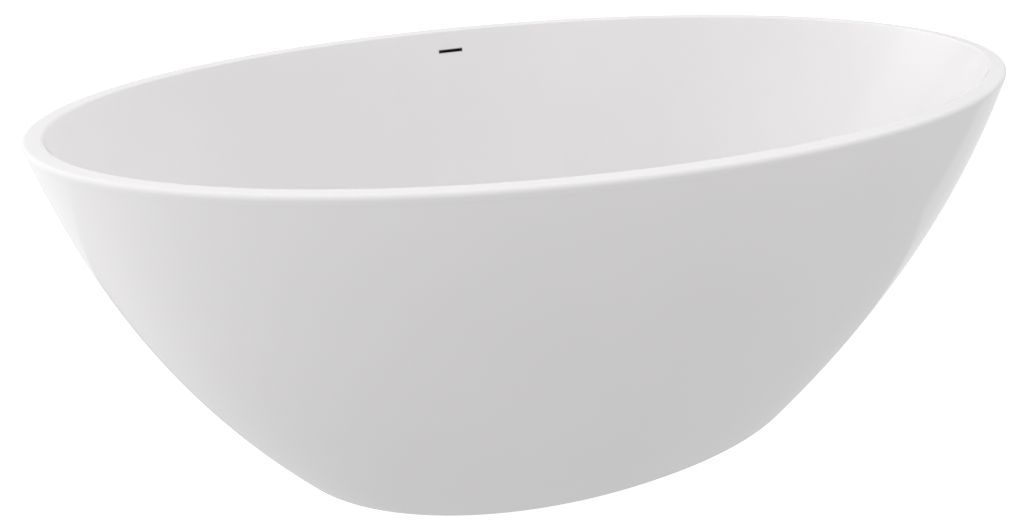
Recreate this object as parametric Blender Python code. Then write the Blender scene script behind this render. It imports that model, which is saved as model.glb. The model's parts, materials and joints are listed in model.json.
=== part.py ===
"""Freestanding double-skin bathtub: basin, skirt, base board, welded frame, levelling feet, waste and overflow.

Metres, +Z up, +X along the tub. The origin is on the floor, under the middle of the tub.
"""

import math

import bmesh
import bpy
from mathutils import Matrix, Vector

# Driving dimensions of the tub
TUB_LENGTH = 1.65
TUB_WIDTH = 0.90
TUB_HEIGHT = 0.58
RIM_WIDTH = 0.027
BASE_LENGTH = 1.00
BASE_WIDTH = 0.58
BASE_EXPONENT = 2.1
END_STRAIGHT_SHARE = 0.5
END_POWER = 2.4
SIDE_POWER = 1.7

# Basin
BASIN_FLOOR = 0.140
BASIN_FLOOR_LENGTH = 0.84
BASIN_FLOOR_WIDTH = 0.43
BASIN_FLOOR_EXPONENT = 2.3
INNER_WALL = 0.006
WASTE_HOLE_RADIUS = 0.024
WASTE_RECESS_DEPTH = 0.0045
WASTE_RECESS_RADIUS = 0.038

# Skirt and the rim that covers its top edge
OUTER_WALL = 0.005
SKIRT_BOTTOM = 0.003
RIM_EDGE_RADIUS = 0.0065
RIM_CHAMFER = 0.002
LIP_HEIGHT = 0.012
BEAD_GAP = 0.0012
BEAD_WIDTH = 0.009
BEAD_HEIGHT = 0.016

# Fits
FIT = 0.0003
PLAY = 0.0005

# Faceting
SHELL_SEGMENTS = 72
WALL_RINGS = 9
SKIRT_RINGS = 8
ROUND_SIDES = 24
PAD_SIDES = 16
SMALL_SIDES = 12
EDGE_STEPS = 3
SCREW_SIDES = 8
HOSE_SIDES = 10
HOSE_STEPS = 2
SPRING_SIDES = 5
SPRING_STEPS = 10

# Base board, under the flat of the basin
BOARD_LENGTH = 0.76
BOARD_WIDTH = 0.36
BOARD_THICKNESS = 0.018
BOARD_CORNER = 0.05
BOARD_HOLE_RADIUS = 0.050
BOARD_TOP = BASIN_FLOOR - INNER_WALL - FIT
BOARD_BOTTOM = BOARD_TOP - BOARD_THICKNESS

# Welded frame of square tube
TUBE_WALL = 0.002
CROSS_WIDTH = 0.030
CROSS_HEIGHT = 0.020
CROSS_TOP = BOARD_BOTTOM - FIT
CROSS_BOTTOM = CROSS_TOP - CROSS_HEIGHT
RAIL_SIDE = 0.025
RAIL_TOP = CROSS_BOTTOM - FIT
RAIL_BOTTOM = RAIL_TOP - RAIL_SIDE
RAIL_LENGTH = 0.72
RAIL_Y = 0.15
OUTER_CROSS_X = RAIL_LENGTH / 2 - CROSS_WIDTH / 2
INNER_CROSS_X = 0.10
CROSS_LENGTH = 2 * RAIL_Y + RAIL_SIDE

# Board screws
SCREW_Y = 0.085
SCREW_RADIUS = 0.0024
SCREW_HEAD_RADIUS = 0.0045
SCREW_HEAD_HEIGHT = 0.003
SCREW_GRIP = 0.012

# Levelling feet
FOOT_X = 0.29
FOOT_PAD_RADIUS = 0.025
FOOT_PAD_HEIGHT = 0.018
FOOT_SOCKET_FLOOR = 0.006
STUD_RADIUS = 0.005
STUD_TOP = BOARD_BOTTOM - 0.004
NUT_FLATS = 0.017
NUT_HEIGHT = 0.008

# Skirt brackets
STRAP_THICKNESS = 0.003
STRAP_WIDTH = 0.030
BRACKET_LOW = 0.052
BRACKET_PAD_WIDTH = 0.024
BRACKET_STAND_OFF = 0.012
BRACKET_PAD_GAP = 0.002

# Waste, from the flange in the basin floor down to the outlet
FLANGE_RADIUS = 0.035
FLANGE_THICKNESS = 0.0025
TUBE_RADIUS = 0.0225
TUBE_BORE = 0.0200
WASTE_OUTLET = 0.062
RECESS_FLOOR = BASIN_FLOOR - WASTE_RECESS_DEPTH
RECESS_UNDERSIDE = RECESS_FLOOR - INNER_WALL
GASKET_THICKNESS = 0.0012
FLANGE_BOTTOM = RECESS_FLOOR + GASKET_THICKNESS + 2 * FIT
FLANGE_TOP = FLANGE_BOTTOM + FLANGE_THICKNESS
WASHER_RADIUS = 0.036
WASHER_THICKNESS = 0.003
WASHER_BORE = TUBE_RADIUS + FIT
BANJO_RADIUS = 0.034
BANJO_HEIGHT = 0.025
BANJO_CHAMBER = 0.029
BANJO_WALL = 0.004
BANJO_TOP = RECESS_UNDERSIDE - WASHER_THICKNESS - 2 * FIT
BANJO_BOTTOM = BANJO_TOP - BANJO_HEIGHT
BANJO_MIDDLE = (BANJO_TOP + BANJO_BOTTOM) / 2
BACKNUT_FLATS = 0.060
BACKNUT_HEIGHT = 0.010
WINDOW_WIDTH = 0.010
WINDOW_HEIGHT = 0.008

# Click plug and its cartridge
HUB_RADIUS = 0.0105
HUB_TOP = 0.126
HUB_HEIGHT = 0.007
RIB_WIDTH = 0.003
CAP_RADIUS = 0.0315
CAP_THICKNESS = 0.0028
CAP_DOME = 0.0022
CAP_BOSS_RADIUS = 0.0065
CAP_BOSS_LENGTH = 0.012
SEAL_THICKNESS = 0.002
SEAL_RADIUS = 0.027
STEM_RADIUS = 0.0035
COLLAR_RADIUS = 0.0066
COLLAR_HEIGHT = 0.003
COLLAR_TOP = 0.1065
CARTRIDGE_RADIUS = 0.0090
CARTRIDGE_BORE = 0.0075
CARTRIDGE_BOTTOM = 0.090
CARTRIDGE_FLOOR = 0.002
SPRING_RADIUS = 0.0055
SPRING_WIRE = 0.0006
SPRING_TURNS = 4

# Overflow, high in the middle of the back wall
SLOT_DEPTH = 0.037
SLOT_LENGTH = 0.052
SLOT_HEIGHT = 0.0072
SLOT_LINER = 0.0008
LINER_PROUD = 0.0006
LINER_LENGTH = 0.019
GASKET_LENGTH = 0.066
GASKET_HEIGHT = 0.024
GASKET_LEAST = 0.002
OVERFLOW_BODY_DEPTH = 0.0125
OVERFLOW_SUMP = 0.005
OVERFLOW_BODY_WALL = 0.002
SPIGOT_RADIUS = 0.0070
SPIGOT_BORE = 0.0052
SPIGOT_LENGTH = 0.022
SPIGOT_TILT = math.radians(12.5)
SPIGOT_Y = 0.430

# Overflow hose and its clips
HOSE_RADIUS = 0.0095
HOSE_BORE = 0.0074
HOSE_START = 0.004
CLIP_THICKNESS = 0.0009
CLIP_WIDTH = 0.008
CLIP_FROM_END = 0.005
CLIP_SCREW_RADIUS = 0.0016


def clear_scene():
    for old in list(bpy.data.objects):
        bpy.data.objects.remove(old, do_unlink=True)


def material(name, colour, roughness, metallic=0.0):
    made = bpy.data.materials.new(name)
    made.use_nodes = True
    shader = made.node_tree.nodes["Principled BSDF"]
    shader.inputs["Base Color"].default_value = (*colour, 1.0)
    shader.inputs["Roughness"].default_value = roughness
    shader.inputs["Metallic"].default_value = metallic
    made.diffuse_color = (*colour, 1.0)
    return made


# ---------------------------------------------------------------- outlines of the tub


def skirt_half_sizes(height):
    """Half length, half width and exponent of the skirt's outer outline at a height."""
    up = height / TUB_HEIGHT
    end = END_STRAIGHT_SHARE * up + (1 - END_STRAIGHT_SHARE) * (1 - (1 - up) ** END_POWER)
    side = 1 - (1 - up) ** SIDE_POWER
    half_length = (BASE_LENGTH + (TUB_LENGTH - BASE_LENGTH) * end) / 2
    half_width = (BASE_WIDTH + (TUB_WIDTH - BASE_WIDTH) * side) / 2
    return half_length, half_width, BASE_EXPONENT + (2 - BASE_EXPONENT) * up


def skirt_inner_half_sizes(height, depth=OUTER_WALL):
    """The same outline at a depth inside the skirt's outer face, measured square to it."""
    step = 0.001
    length, width, exponent = skirt_half_sizes(height)
    lower_length, lower_width, _ = skirt_half_sizes(height - step)
    length -= depth * math.hypot(1, (length - lower_length) / step)
    width -= depth * math.hypot(1, (width - lower_width) / step)
    return length, width, exponent


def basin_half_sizes(up):
    """Half length, half width and exponent of the basin, up being 0 at its floor and 1 at the rim."""
    reach = math.sqrt(up)
    floor_length = BASIN_FLOOR_LENGTH / 2
    floor_width = BASIN_FLOOR_WIDTH / 2
    half_length = floor_length + (TUB_LENGTH / 2 - RIM_WIDTH - floor_length) * reach
    half_width = floor_width + (TUB_WIDTH / 2 - RIM_WIDTH - floor_width) * reach
    return half_length, half_width, BASIN_FLOOR_EXPONENT + (2 - BASIN_FLOOR_EXPONENT) * up


def outline_point(sizes, angle, height):
    """A point of a superellipse."""
    half_length, half_width, exponent = sizes
    along = math.copysign(abs(math.cos(angle)) ** (2 / exponent), math.cos(angle))
    across = math.copysign(abs(math.sin(angle)) ** (2 / exponent), math.sin(angle))
    return Vector((half_length * along, half_width * across, height))


def outline_ring(sizes, height):
    angles = [math.tau * i / SHELL_SEGMENTS for i in range(SHELL_SEGMENTS)]
    return [outline_point(sizes, angle, height) for angle in angles]


def circle_sizes(radius):
    return radius, radius, 2


def inset_sizes(sizes, inset):
    return sizes[0] - inset, sizes[1] - inset, sizes[2]


def basin_height(up):
    return BASIN_FLOOR + (TUB_HEIGHT - BASIN_FLOOR) * up


def basin_up(height):
    return (height - BASIN_FLOOR) / (TUB_HEIGHT - BASIN_FLOOR)


def basin_point(angle, up):
    return outline_point(basin_half_sizes(up), angle, basin_height(up))


def basin_back_point(angle, up):
    """The point on the dry side of the basin wall, one wall thickness square to its wet side."""
    turn = 0.001
    rise = 0.0001
    around = basin_point(angle + turn, up) - basin_point(angle - turn, up)
    upward = basin_point(angle, up + rise) - basin_point(angle, max(up - rise, 0))
    return basin_point(angle, up) + INNER_WALL * around.cross(upward).normalized()


def basin_back_ring(up):
    return [basin_back_point(math.tau * i / SHELL_SEGMENTS, up) for i in range(SHELL_SEGMENTS)]


# ---------------------------------------------------------------- modelling helpers


def finish_object(name, mesh_builder, made_of, smooth_angle=35):
    """A named object from a bmesh, with its faces turned outwards."""
    bmesh.ops.recalc_face_normals(mesh_builder, faces=mesh_builder.faces)
    mesh = bpy.data.meshes.new(name)
    mesh_builder.to_mesh(mesh)
    mesh_builder.free()
    mesh.shade_smooth()
    mesh.set_sharp_from_angle(angle=math.radians(smooth_angle))
    made = bpy.data.objects.new(name, mesh)
    if made_of:
        made.data.materials.append(made_of)
    bpy.context.scene.collection.objects.link(made)
    return made


def skin(mesh_builder, rings, closed_round=True):
    """Quads between neighbouring rings of equal length, and from the last ring back to the first."""
    loops = [[mesh_builder.verts.new(point) for point in ring] for ring in rings]
    pairs = list(zip(loops, loops[1:]))
    if closed_round:
        pairs.append((loops[-1], loops[0]))
    for lower, upper in pairs:
        count = len(lower)
        for i in range(count):
            j = (i + 1) % count
            mesh_builder.faces.new((lower[i], lower[j], upper[j], upper[i]))
    return loops


def ringed_body(name, rings, made_of):
    """A closed body whose rings go once round its section, such as a shell with a hole."""
    builder = bmesh.new()
    skin(builder, rings)
    return finish_object(name, builder, made_of)


def capped_body(name, rings, made_of):
    """A closed body between two end caps."""
    builder = bmesh.new()
    loops = skin(builder, rings, closed_round=False)
    builder.faces.new(loops[0])
    builder.faces.new(loops[-1])
    return finish_object(name, builder, made_of)


def circle(radius, height, sides=ROUND_SIDES):
    angles = [math.tau * i / sides for i in range(sides)]
    return [Vector((radius * math.cos(a), radius * math.sin(a), height)) for a in angles]


def hexagon(flats, height):
    """A hexagon with a point at each corner and at the middle of each side, to match SMALL_SIDES."""
    points = []
    for i in range(SMALL_SIDES):
        reach = 1 if i % 2 else math.cos(math.pi / 6)
        radius = reach * flats / 2 / math.cos(math.pi / 6)
        angle = math.tau * i / SMALL_SIDES
        points.append(Vector((radius * math.cos(angle), radius * math.sin(angle), height)))
    return points


def turned_ring(name, profile, made_of, sides=ROUND_SIDES):
    """A body turned from a closed profile of (radius, height) that stays off the axis."""
    return ringed_body(name, [circle(radius, height, sides) for radius, height in profile], made_of)


def turned_solid(name, profile, made_of, sides=ROUND_SIDES):
    """A body turned from an open profile whose two ends are capped flat."""
    return capped_body(name, [circle(radius, height, sides) for radius, height in profile], made_of)


def place(made, x=0.0, y=0.0, z=0.0, turn=0.0):
    made.location = (x, y, z)
    made.rotation_euler = (0, 0, turn)
    return made


def rectangle(width, height, across, up, centre=Vector((0, 0, 0))):
    """Four corners of a rectangle in the plane of two unit vectors."""
    signs = [(-1, -1), (1, -1), (1, 1), (-1, 1)]
    return [centre + across * (s * width / 2) + up * (t * height / 2) for s, t in signs]


def square_tube(name, length, width, height, along, across, made_of):
    """A straight hollow tube with open ends, centred on its object's origin."""
    up = Vector((0, 0, 1))
    inner_width = width - 2 * TUBE_WALL
    inner_height = height - 2 * TUBE_WALL
    start = -along * length / 2
    end = along * length / 2
    rings = [
        rectangle(width, height, across, up, start),
        rectangle(width, height, across, up, end),
        rectangle(inner_width, inner_height, across, up, end),
        rectangle(inner_width, inner_height, across, up, start),
    ]
    return ringed_body(name, rings, made_of)


def cutter(name, ring_lists):
    """A hidden helper of one or more closed pieces that Boolean modifiers cut away."""
    builder = bmesh.new()
    for rings in ring_lists:
        loops = skin(builder, rings, closed_round=False)
        builder.faces.new(loops[0])
        builder.faces.new(loops[-1])
    made = finish_object(name, builder, None)
    made.hide_render = True
    made.display_type = "WIRE"
    return made


def cylinder_rings(x, y, low, high, radius, sides=SMALL_SIDES):
    shift = Vector((x, y, 0))
    return [[p + shift for p in circle(radius, height, sides)] for height in (low, high)]


def box_rings(low, high):
    """The two end rings of a box between its lowest and highest corners."""
    middle = Vector(((low[0] + high[0]) / 2, (low[1] + high[1]) / 2, 0))
    across = Vector((1, 0, 0))
    along = Vector((0, 1, 0))
    size = (high[0] - low[0], high[1] - low[1])
    return [rectangle(*size, across, along, middle + Vector((0, 0, z))) for z in (low[2], high[2])]


def combine(target, other, operation):
    change = target.modifiers.new(f"{operation.lower()} {other.name}", "BOOLEAN")
    change.operation = operation
    change.solver = "EXACT"
    change.object = other
    return target


def hide_helper(made):
    made.hide_render = True
    made.display_type = "WIRE"
    return made


# ---------------------------------------------------------------- shells


def waste_hole_rings(floor_height, recess_height, recess_radius, edge_radius):
    """Rings from the waste hole, over its recess, to the recess's outer edge."""
    return [
        outline_ring(circle_sizes(WASTE_HOLE_RADIUS), recess_height),
        outline_ring(circle_sizes(recess_radius), recess_height),
        outline_ring(circle_sizes(edge_radius), floor_height),
    ]


def half_floor_ring(height):
    half_length, half_width, exponent = basin_half_sizes(0)
    return outline_ring((half_length / 2, half_width / 2, exponent), height)


def rim_rings():
    """Rings over the rim, from its inner edge to the lip that covers the skirt's top edge."""
    top_sizes = skirt_half_sizes(TUB_HEIGHT)
    lip_bottom = TUB_HEIGHT - LIP_HEIGHT
    underside = TUB_HEIGHT - INNER_WALL
    lip_sizes = skirt_half_sizes(lip_bottom)
    back_sizes = inset_sizes(basin_half_sizes(basin_up(underside)), -INNER_WALL)
    rings = [outline_ring(inset_sizes(top_sizes, RIM_WIDTH - RIM_CHAMFER), TUB_HEIGHT)]
    for step in range(EDGE_STEPS + 1):
        angle = math.pi / 2 * step / EDGE_STEPS
        inset = RIM_EDGE_RADIUS * (1 - math.sin(angle))
        height = TUB_HEIGHT - RIM_EDGE_RADIUS * (1 - math.cos(angle))
        rings.append(outline_ring(inset_sizes(skirt_half_sizes(height), inset), height))
    rings += [
        outline_ring(lip_sizes, lip_bottom),
        outline_ring(inset_sizes(lip_sizes, OUTER_WALL), lip_bottom),
        outline_ring(inset_sizes(lip_sizes, OUTER_WALL), underside),
        outline_ring(back_sizes, underside),
    ]
    return rings


def build_inner_shell(made_of):
    """Basin and rim in one skin, with the waste hole in its floor."""
    ups = [(i / WALL_RINGS) ** 2 for i in range(WALL_RINGS)]
    rim_start = basin_up(TUB_HEIGHT - RIM_CHAMFER)
    wet = waste_hole_rings(
        BASIN_FLOOR, RECESS_FLOOR, WASTE_RECESS_RADIUS, WASTE_RECESS_RADIUS + WASTE_RECESS_DEPTH
    )
    wet.append(half_floor_ring(BASIN_FLOOR))
    wet += [outline_ring(basin_half_sizes(up), basin_height(up)) for up in ups + [rim_start]]
    under = BASIN_FLOOR - INNER_WALL
    dry = waste_hole_rings(
        under, RECESS_UNDERSIDE, WASTE_RECESS_RADIUS + INNER_WALL, WASTE_RECESS_RADIUS + 2 * INNER_WALL
    )
    dry.append(half_floor_ring(under))
    dry.append(outline_ring(basin_half_sizes(0), under))
    dry += [basin_back_ring(up) for up in ups[1:]]
    return ringed_body("inner_shell", wet + rim_rings() + dry[::-1], made_of)


def build_outer_shell(made_of):
    """The skirt, from just above the floor to just under the rim's lip."""
    top = TUB_HEIGHT - LIP_HEIGHT - FIT
    heights = [SKIRT_BOTTOM + (top - SKIRT_BOTTOM) * i / SKIRT_RINGS for i in range(SKIRT_RINGS + 1)]
    outside = [outline_ring(skirt_half_sizes(height), height) for height in heights]
    inside = [outline_ring(skirt_inner_half_sizes(height), height) for height in heights]
    return ringed_body("outer_shell", outside + inside[::-1], made_of)


def build_rim_bond_bead(made_of):
    """The bonding strip inside the rim's channel, which joins the lip and the skirt."""
    top = TUB_HEIGHT - INNER_WALL - FIT
    bottom = top - BEAD_HEIGHT
    lip_level = TUB_HEIGHT - LIP_HEIGHT
    near = OUTER_WALL + BEAD_GAP
    far = near + BEAD_WIDTH
    rings = [
        outline_ring(inset_sizes(skirt_half_sizes(lip_level), near), top),
        outline_ring(skirt_inner_half_sizes(lip_level, near), lip_level),
        outline_ring(skirt_inner_half_sizes(bottom, near), bottom),
        outline_ring(skirt_inner_half_sizes(bottom, far), bottom),
        outline_ring(inset_sizes(skirt_half_sizes(lip_level), far), top),
    ]
    return ringed_body("rim_bond_bead", rings, made_of)


# ---------------------------------------------------------------- board and frame


def rounded_rectangle(length, width, corner, height):
    points = []
    for quarter in range(4):
        centre_x = (length / 2 - corner) * (1 if quarter in (0, 3) else -1)
        centre_y = (width / 2 - corner) * (1 if quarter in (0, 1) else -1)
        for step in range(4):
            angle = math.pi / 2 * (quarter + step / 3)
            x = centre_x + corner * math.cos(angle)
            y = centre_y + corner * math.sin(angle)
            points.append(Vector((x, y, height)))
    return points


def screw_places():
    crosses = (-OUTER_CROSS_X, -INNER_CROSS_X, INNER_CROSS_X, OUTER_CROSS_X)
    return [(x, y) for x in crosses for y in (-SCREW_Y, SCREW_Y)]


def build_screw_holes():
    """Clearance holes through the cross tubes and pilot holes in the board, as one helper."""
    top = BOARD_BOTTOM + SCREW_GRIP + PLAY
    holes = [
        cylinder_rings(x, y, CROSS_BOTTOM - RAIL_SIDE, top, SCREW_RADIUS + PLAY) for x, y in screw_places()
    ]
    return cutter("screw_holes", holes)


def build_base_board(made_of, screw_holes):
    """The board under the basin's floor, notched at the back for the waste and the hose."""
    heights = (BOARD_BOTTOM, BOARD_TOP)
    board = capped_body(
        "base_board",
        [rounded_rectangle(BOARD_LENGTH, BOARD_WIDTH, BOARD_CORNER, z) for z in heights],
        made_of,
    )
    low = BOARD_BOTTOM - PLAY
    high = BOARD_TOP + PLAY
    hole = cutter("waste_clearance", [cylinder_rings(0, 0, low, high, BOARD_HOLE_RADIUS, ROUND_SIDES)])
    notch_half = BOARD_HOLE_RADIUS * 0.9
    notch = cutter("hose_clearance", [box_rings((-notch_half, 0, low), (notch_half, BOARD_WIDTH, high))])
    for helper in (hole, notch, screw_holes):
        combine(board, helper, "DIFFERENCE")
    return board


def build_rails(made_of):
    """Two rails along the tub, drilled for the feet's studs."""
    drilled = [
        cylinder_rings(x, y, RAIL_BOTTOM - RAIL_SIDE, RAIL_TOP + RAIL_SIDE, STUD_RADIUS + PLAY)
        for x in (-FOOT_X, FOOT_X)
        for y in (-RAIL_Y, RAIL_Y)
    ]
    stud_holes = cutter("stud_holes", drilled)
    for name, y in (("frame_rail_front", -RAIL_Y), ("frame_rail_back", RAIL_Y)):
        rail = square_tube(
            name, RAIL_LENGTH, RAIL_SIDE, RAIL_SIDE, Vector((1, 0, 0)), Vector((0, 1, 0)), made_of
        )
        place(rail, y=y, z=RAIL_BOTTOM + RAIL_SIDE / 2)
        combine(rail, stud_holes, "DIFFERENCE")


def build_cross_tubes(made_of, screw_holes):
    places = {
        "frame_cross_left_end": -OUTER_CROSS_X,
        "frame_cross_left_middle": -INNER_CROSS_X,
        "frame_cross_right_middle": INNER_CROSS_X,
        "frame_cross_right_end": OUTER_CROSS_X,
    }
    for name, x in places.items():
        cross = square_tube(
            name, CROSS_LENGTH, CROSS_WIDTH, CROSS_HEIGHT, Vector((0, 1, 0)), Vector((1, 0, 0)), made_of
        )
        place(cross, x=x, z=CROSS_BOTTOM + CROSS_HEIGHT / 2)
        combine(cross, screw_holes, "DIFFERENCE")


def build_board_screws(made_of):
    """Screws that hold the board down on the cross tubes, driven from below."""
    head_top = CROSS_BOTTOM - FIT
    profile = [
        (SCREW_HEAD_RADIUS * 0.8, head_top - SCREW_HEAD_HEIGHT),
        (SCREW_HEAD_RADIUS, head_top - SCREW_HEAD_HEIGHT * 0.6),
        (SCREW_HEAD_RADIUS, head_top),
        (SCREW_RADIUS, head_top),
        (SCREW_RADIUS, BOARD_BOTTOM + SCREW_GRIP * 0.8),
        (SCREW_RADIUS * 0.3, BOARD_BOTTOM + SCREW_GRIP),
    ]
    for number, (x, y) in enumerate(screw_places(), start=1):
        place(turned_solid(f"board_screw_{number}", profile, made_of, SCREW_SIDES), x, y)


# ---------------------------------------------------------------- levelling feet


def nut_rings(flats, bore, low, high):
    return [
        hexagon(flats, low),
        hexagon(flats, high),
        circle(bore, high, SMALL_SIDES),
        circle(bore, low, SMALL_SIDES),
    ]


def build_foot(number, x, y, plastic, steel):
    """A pad on a threaded stud, with the frame's nut and the locknut that holds its height."""
    pivot = bpy.data.objects.new(f"foot_{number}_axis", None)
    pivot.location = (x, y, 0)
    bpy.context.scene.collection.objects.link(pivot)
    socket = STUD_RADIUS + PLAY
    pad_profile = [
        (FOOT_PAD_RADIUS * 0.94, 0),
        (FOOT_PAD_RADIUS, FOOT_PAD_HEIGHT * 0.12),
        (FOOT_PAD_RADIUS, FOOT_PAD_HEIGHT * 0.3),
        (socket * 2, FOOT_PAD_HEIGHT * 0.6),
        (socket * 1.8, FOOT_PAD_HEIGHT),
        (socket, FOOT_PAD_HEIGHT),
        (socket, FOOT_SOCKET_FLOOR),
    ]
    pad = turned_solid(f"foot_pad_{number}", pad_profile, plastic, PAD_SIDES)
    stud_bottom = FOOT_SOCKET_FLOOR + FIT
    collar = FOOT_PAD_HEIGHT + PLAY
    stud_profile = [
        (STUD_RADIUS * 0.8, stud_bottom),
        (STUD_RADIUS, stud_bottom + STUD_RADIUS * 0.2),
        (STUD_RADIUS, collar),
        (STUD_RADIUS * 1.7, collar),
        (STUD_RADIUS * 1.7, collar + STUD_RADIUS),
        (STUD_RADIUS, collar + STUD_RADIUS),
        (STUD_RADIUS, STUD_TOP - STUD_RADIUS * 0.2),
        (STUD_RADIUS * 0.8, STUD_TOP),
    ]
    stud = turned_solid(f"foot_stud_{number}", stud_profile, steel, SMALL_SIDES)
    pad.parent = pivot
    stud.parent = pivot
    frame_nut_top = RAIL_BOTTOM - FIT
    frame_nut_bottom = frame_nut_top - NUT_HEIGHT
    locknut_top = frame_nut_bottom - FIT
    heights = {
        f"foot_frame_nut_{number}": (frame_nut_bottom, frame_nut_top),
        f"foot_locknut_{number}": (locknut_top - NUT_HEIGHT, locknut_top),
    }
    for name, (low, high) in heights.items():
        place(ringed_body(name, nut_rings(NUT_FLATS, STUD_RADIUS + PLAY, low, high), steel), x, y)


def build_feet(plastic, steel):
    corners = [(-FOOT_X, -RAIL_Y), (FOOT_X, -RAIL_Y), (FOOT_X, RAIL_Y), (-FOOT_X, RAIL_Y)]
    for number, (x, y) in enumerate(corners, start=1):
        build_foot(number, x, y, plastic, steel)


# ---------------------------------------------------------------- skirt brackets


def prism(name, outline, width, made_of):
    """A prism of an outline of (reach, height), as wide as given across its own reach."""
    rings = [[Vector((reach, side * width / 2, z)) for reach, z in outline] for side in (-1, 1)]
    return capped_body(name, rings, made_of)


def build_skirt_bracket(side, turn, axis, start, leg_bottom, steel, adhesive):
    """A bent strap from the frame to the skirt, and the pad that bonds it there.

    axis is 0 where the strap runs along the tub and 1 where it runs across it.
    """
    leg_top = leg_bottom + STRAP_THICKNESS

    def skirt_reach(height, stand_off):
        return skirt_inner_half_sizes(height, OUTER_WALL + stand_off)[axis]

    outer_top = skirt_reach(leg_top, BRACKET_STAND_OFF)
    outer_low = skirt_reach(BRACKET_LOW, BRACKET_STAND_OFF)
    inner_top = skirt_reach(leg_bottom, BRACKET_STAND_OFF + STRAP_THICKNESS)
    inner_low = skirt_reach(BRACKET_LOW, BRACKET_STAND_OFF + STRAP_THICKNESS)
    strap = [
        (start, leg_bottom),
        (inner_top, leg_bottom),
        (inner_low, BRACKET_LOW),
        (outer_low, BRACKET_LOW),
        (outer_top, leg_top),
        (start, leg_top),
    ]
    pad_low = BRACKET_LOW + STRAP_THICKNESS
    pad_high = leg_bottom - STRAP_THICKNESS
    pad = [
        (skirt_reach(pad_low, BRACKET_STAND_OFF - PLAY), pad_low),
        (skirt_reach(pad_low, BRACKET_PAD_GAP), pad_low),
        (skirt_reach(pad_high, BRACKET_PAD_GAP), pad_high),
        (skirt_reach(pad_high, BRACKET_STAND_OFF - PLAY), pad_high),
    ]
    place(prism(f"skirt_bracket_{side}", strap, STRAP_WIDTH, steel), turn=turn)
    place(prism(f"skirt_pad_{side}", pad, BRACKET_PAD_WIDTH, adhesive), turn=turn)


def build_skirt_brackets(steel, adhesive):
    over_rail = CROSS_BOTTOM
    under_cross = CROSS_BOTTOM - FIT - STRAP_THICKNESS
    rail_start = RAIL_Y - RAIL_SIDE / 2
    cross_start = OUTER_CROSS_X - CROSS_WIDTH / 2
    build_skirt_bracket("right", 0, 0, cross_start, under_cross, steel, adhesive)
    build_skirt_bracket("back", math.pi / 2, 1, rail_start, over_rail, steel, adhesive)
    build_skirt_bracket("left", math.pi, 0, cross_start, under_cross, steel, adhesive)
    build_skirt_bracket("front", -math.pi / 2, 1, rail_start, over_rail, steel, adhesive)


# ---------------------------------------------------------------- waste


def build_waste_flange(made_of):
    """The flange and its threaded tube, with a hub on ribs for the cartridge and windows for the overflow."""
    flange = turned_ring(
        "waste_flange",
        [
            (TUBE_BORE, FLANGE_TOP - FLANGE_THICKNESS * 0.4),
            (TUBE_BORE + FLANGE_THICKNESS, FLANGE_TOP),
            (FLANGE_RADIUS - FLANGE_THICKNESS * 0.4, FLANGE_TOP),
            (FLANGE_RADIUS, FLANGE_BOTTOM + FLANGE_THICKNESS * 0.4),
            (FLANGE_RADIUS, FLANGE_BOTTOM),
            (TUBE_RADIUS, FLANGE_BOTTOM),
            (TUBE_RADIUS, WASTE_OUTLET),
            (TUBE_BORE, WASTE_OUTLET),
        ],
        made_of,
    )
    hub_low = HUB_TOP - HUB_HEIGHT
    hub = capped_body("hub_blank", cylinder_rings(0, 0, hub_low, HUB_TOP, HUB_RADIUS), None)
    combine(flange, hide_helper(hub), "UNION")
    reach = (TUBE_BORE + TUBE_RADIUS) / 2
    for index, turn in enumerate((math.pi / 4, -math.pi / 4)):
        rings = box_rings((-reach, -RIB_WIDTH / 2, hub_low + PLAY), (reach, RIB_WIDTH / 2, HUB_TOP - PLAY))
        rib = place(capped_body(f"rib_blank_{index}", rings, None), turn=turn)
        combine(flange, hide_helper(rib), "UNION")
    stem_hole = cylinder_rings(0, 0, hub_low - PLAY, HUB_TOP + PLAY, STEM_RADIUS + PLAY)
    combine(flange, cutter("stem_hole", [stem_hole]), "DIFFERENCE")
    low = BANJO_MIDDLE - WINDOW_HEIGHT / 2
    high = BANJO_MIDDLE + WINDOW_HEIGHT / 2
    inner = CARTRIDGE_RADIUS + TUBE_BORE / 8
    half = WINDOW_WIDTH / 2
    windows = []
    for sign in (-1, 1):
        near, far = sorted((sign * inner, sign * BANJO_CHAMBER))
        windows.append(box_rings((near, -half, low), (far, half, high)))
        windows.append(box_rings((-half, near, low), (half, far, high)))
    combine(flange, cutter("overflow_windows", windows), "DIFFERENCE")


def build_washer(name, low, thickness, radius, made_of, bore=WASHER_BORE):
    high = low + thickness
    return turned_ring(name, [(radius, low), (radius, high), (bore, high), (bore, low)], made_of)


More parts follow.
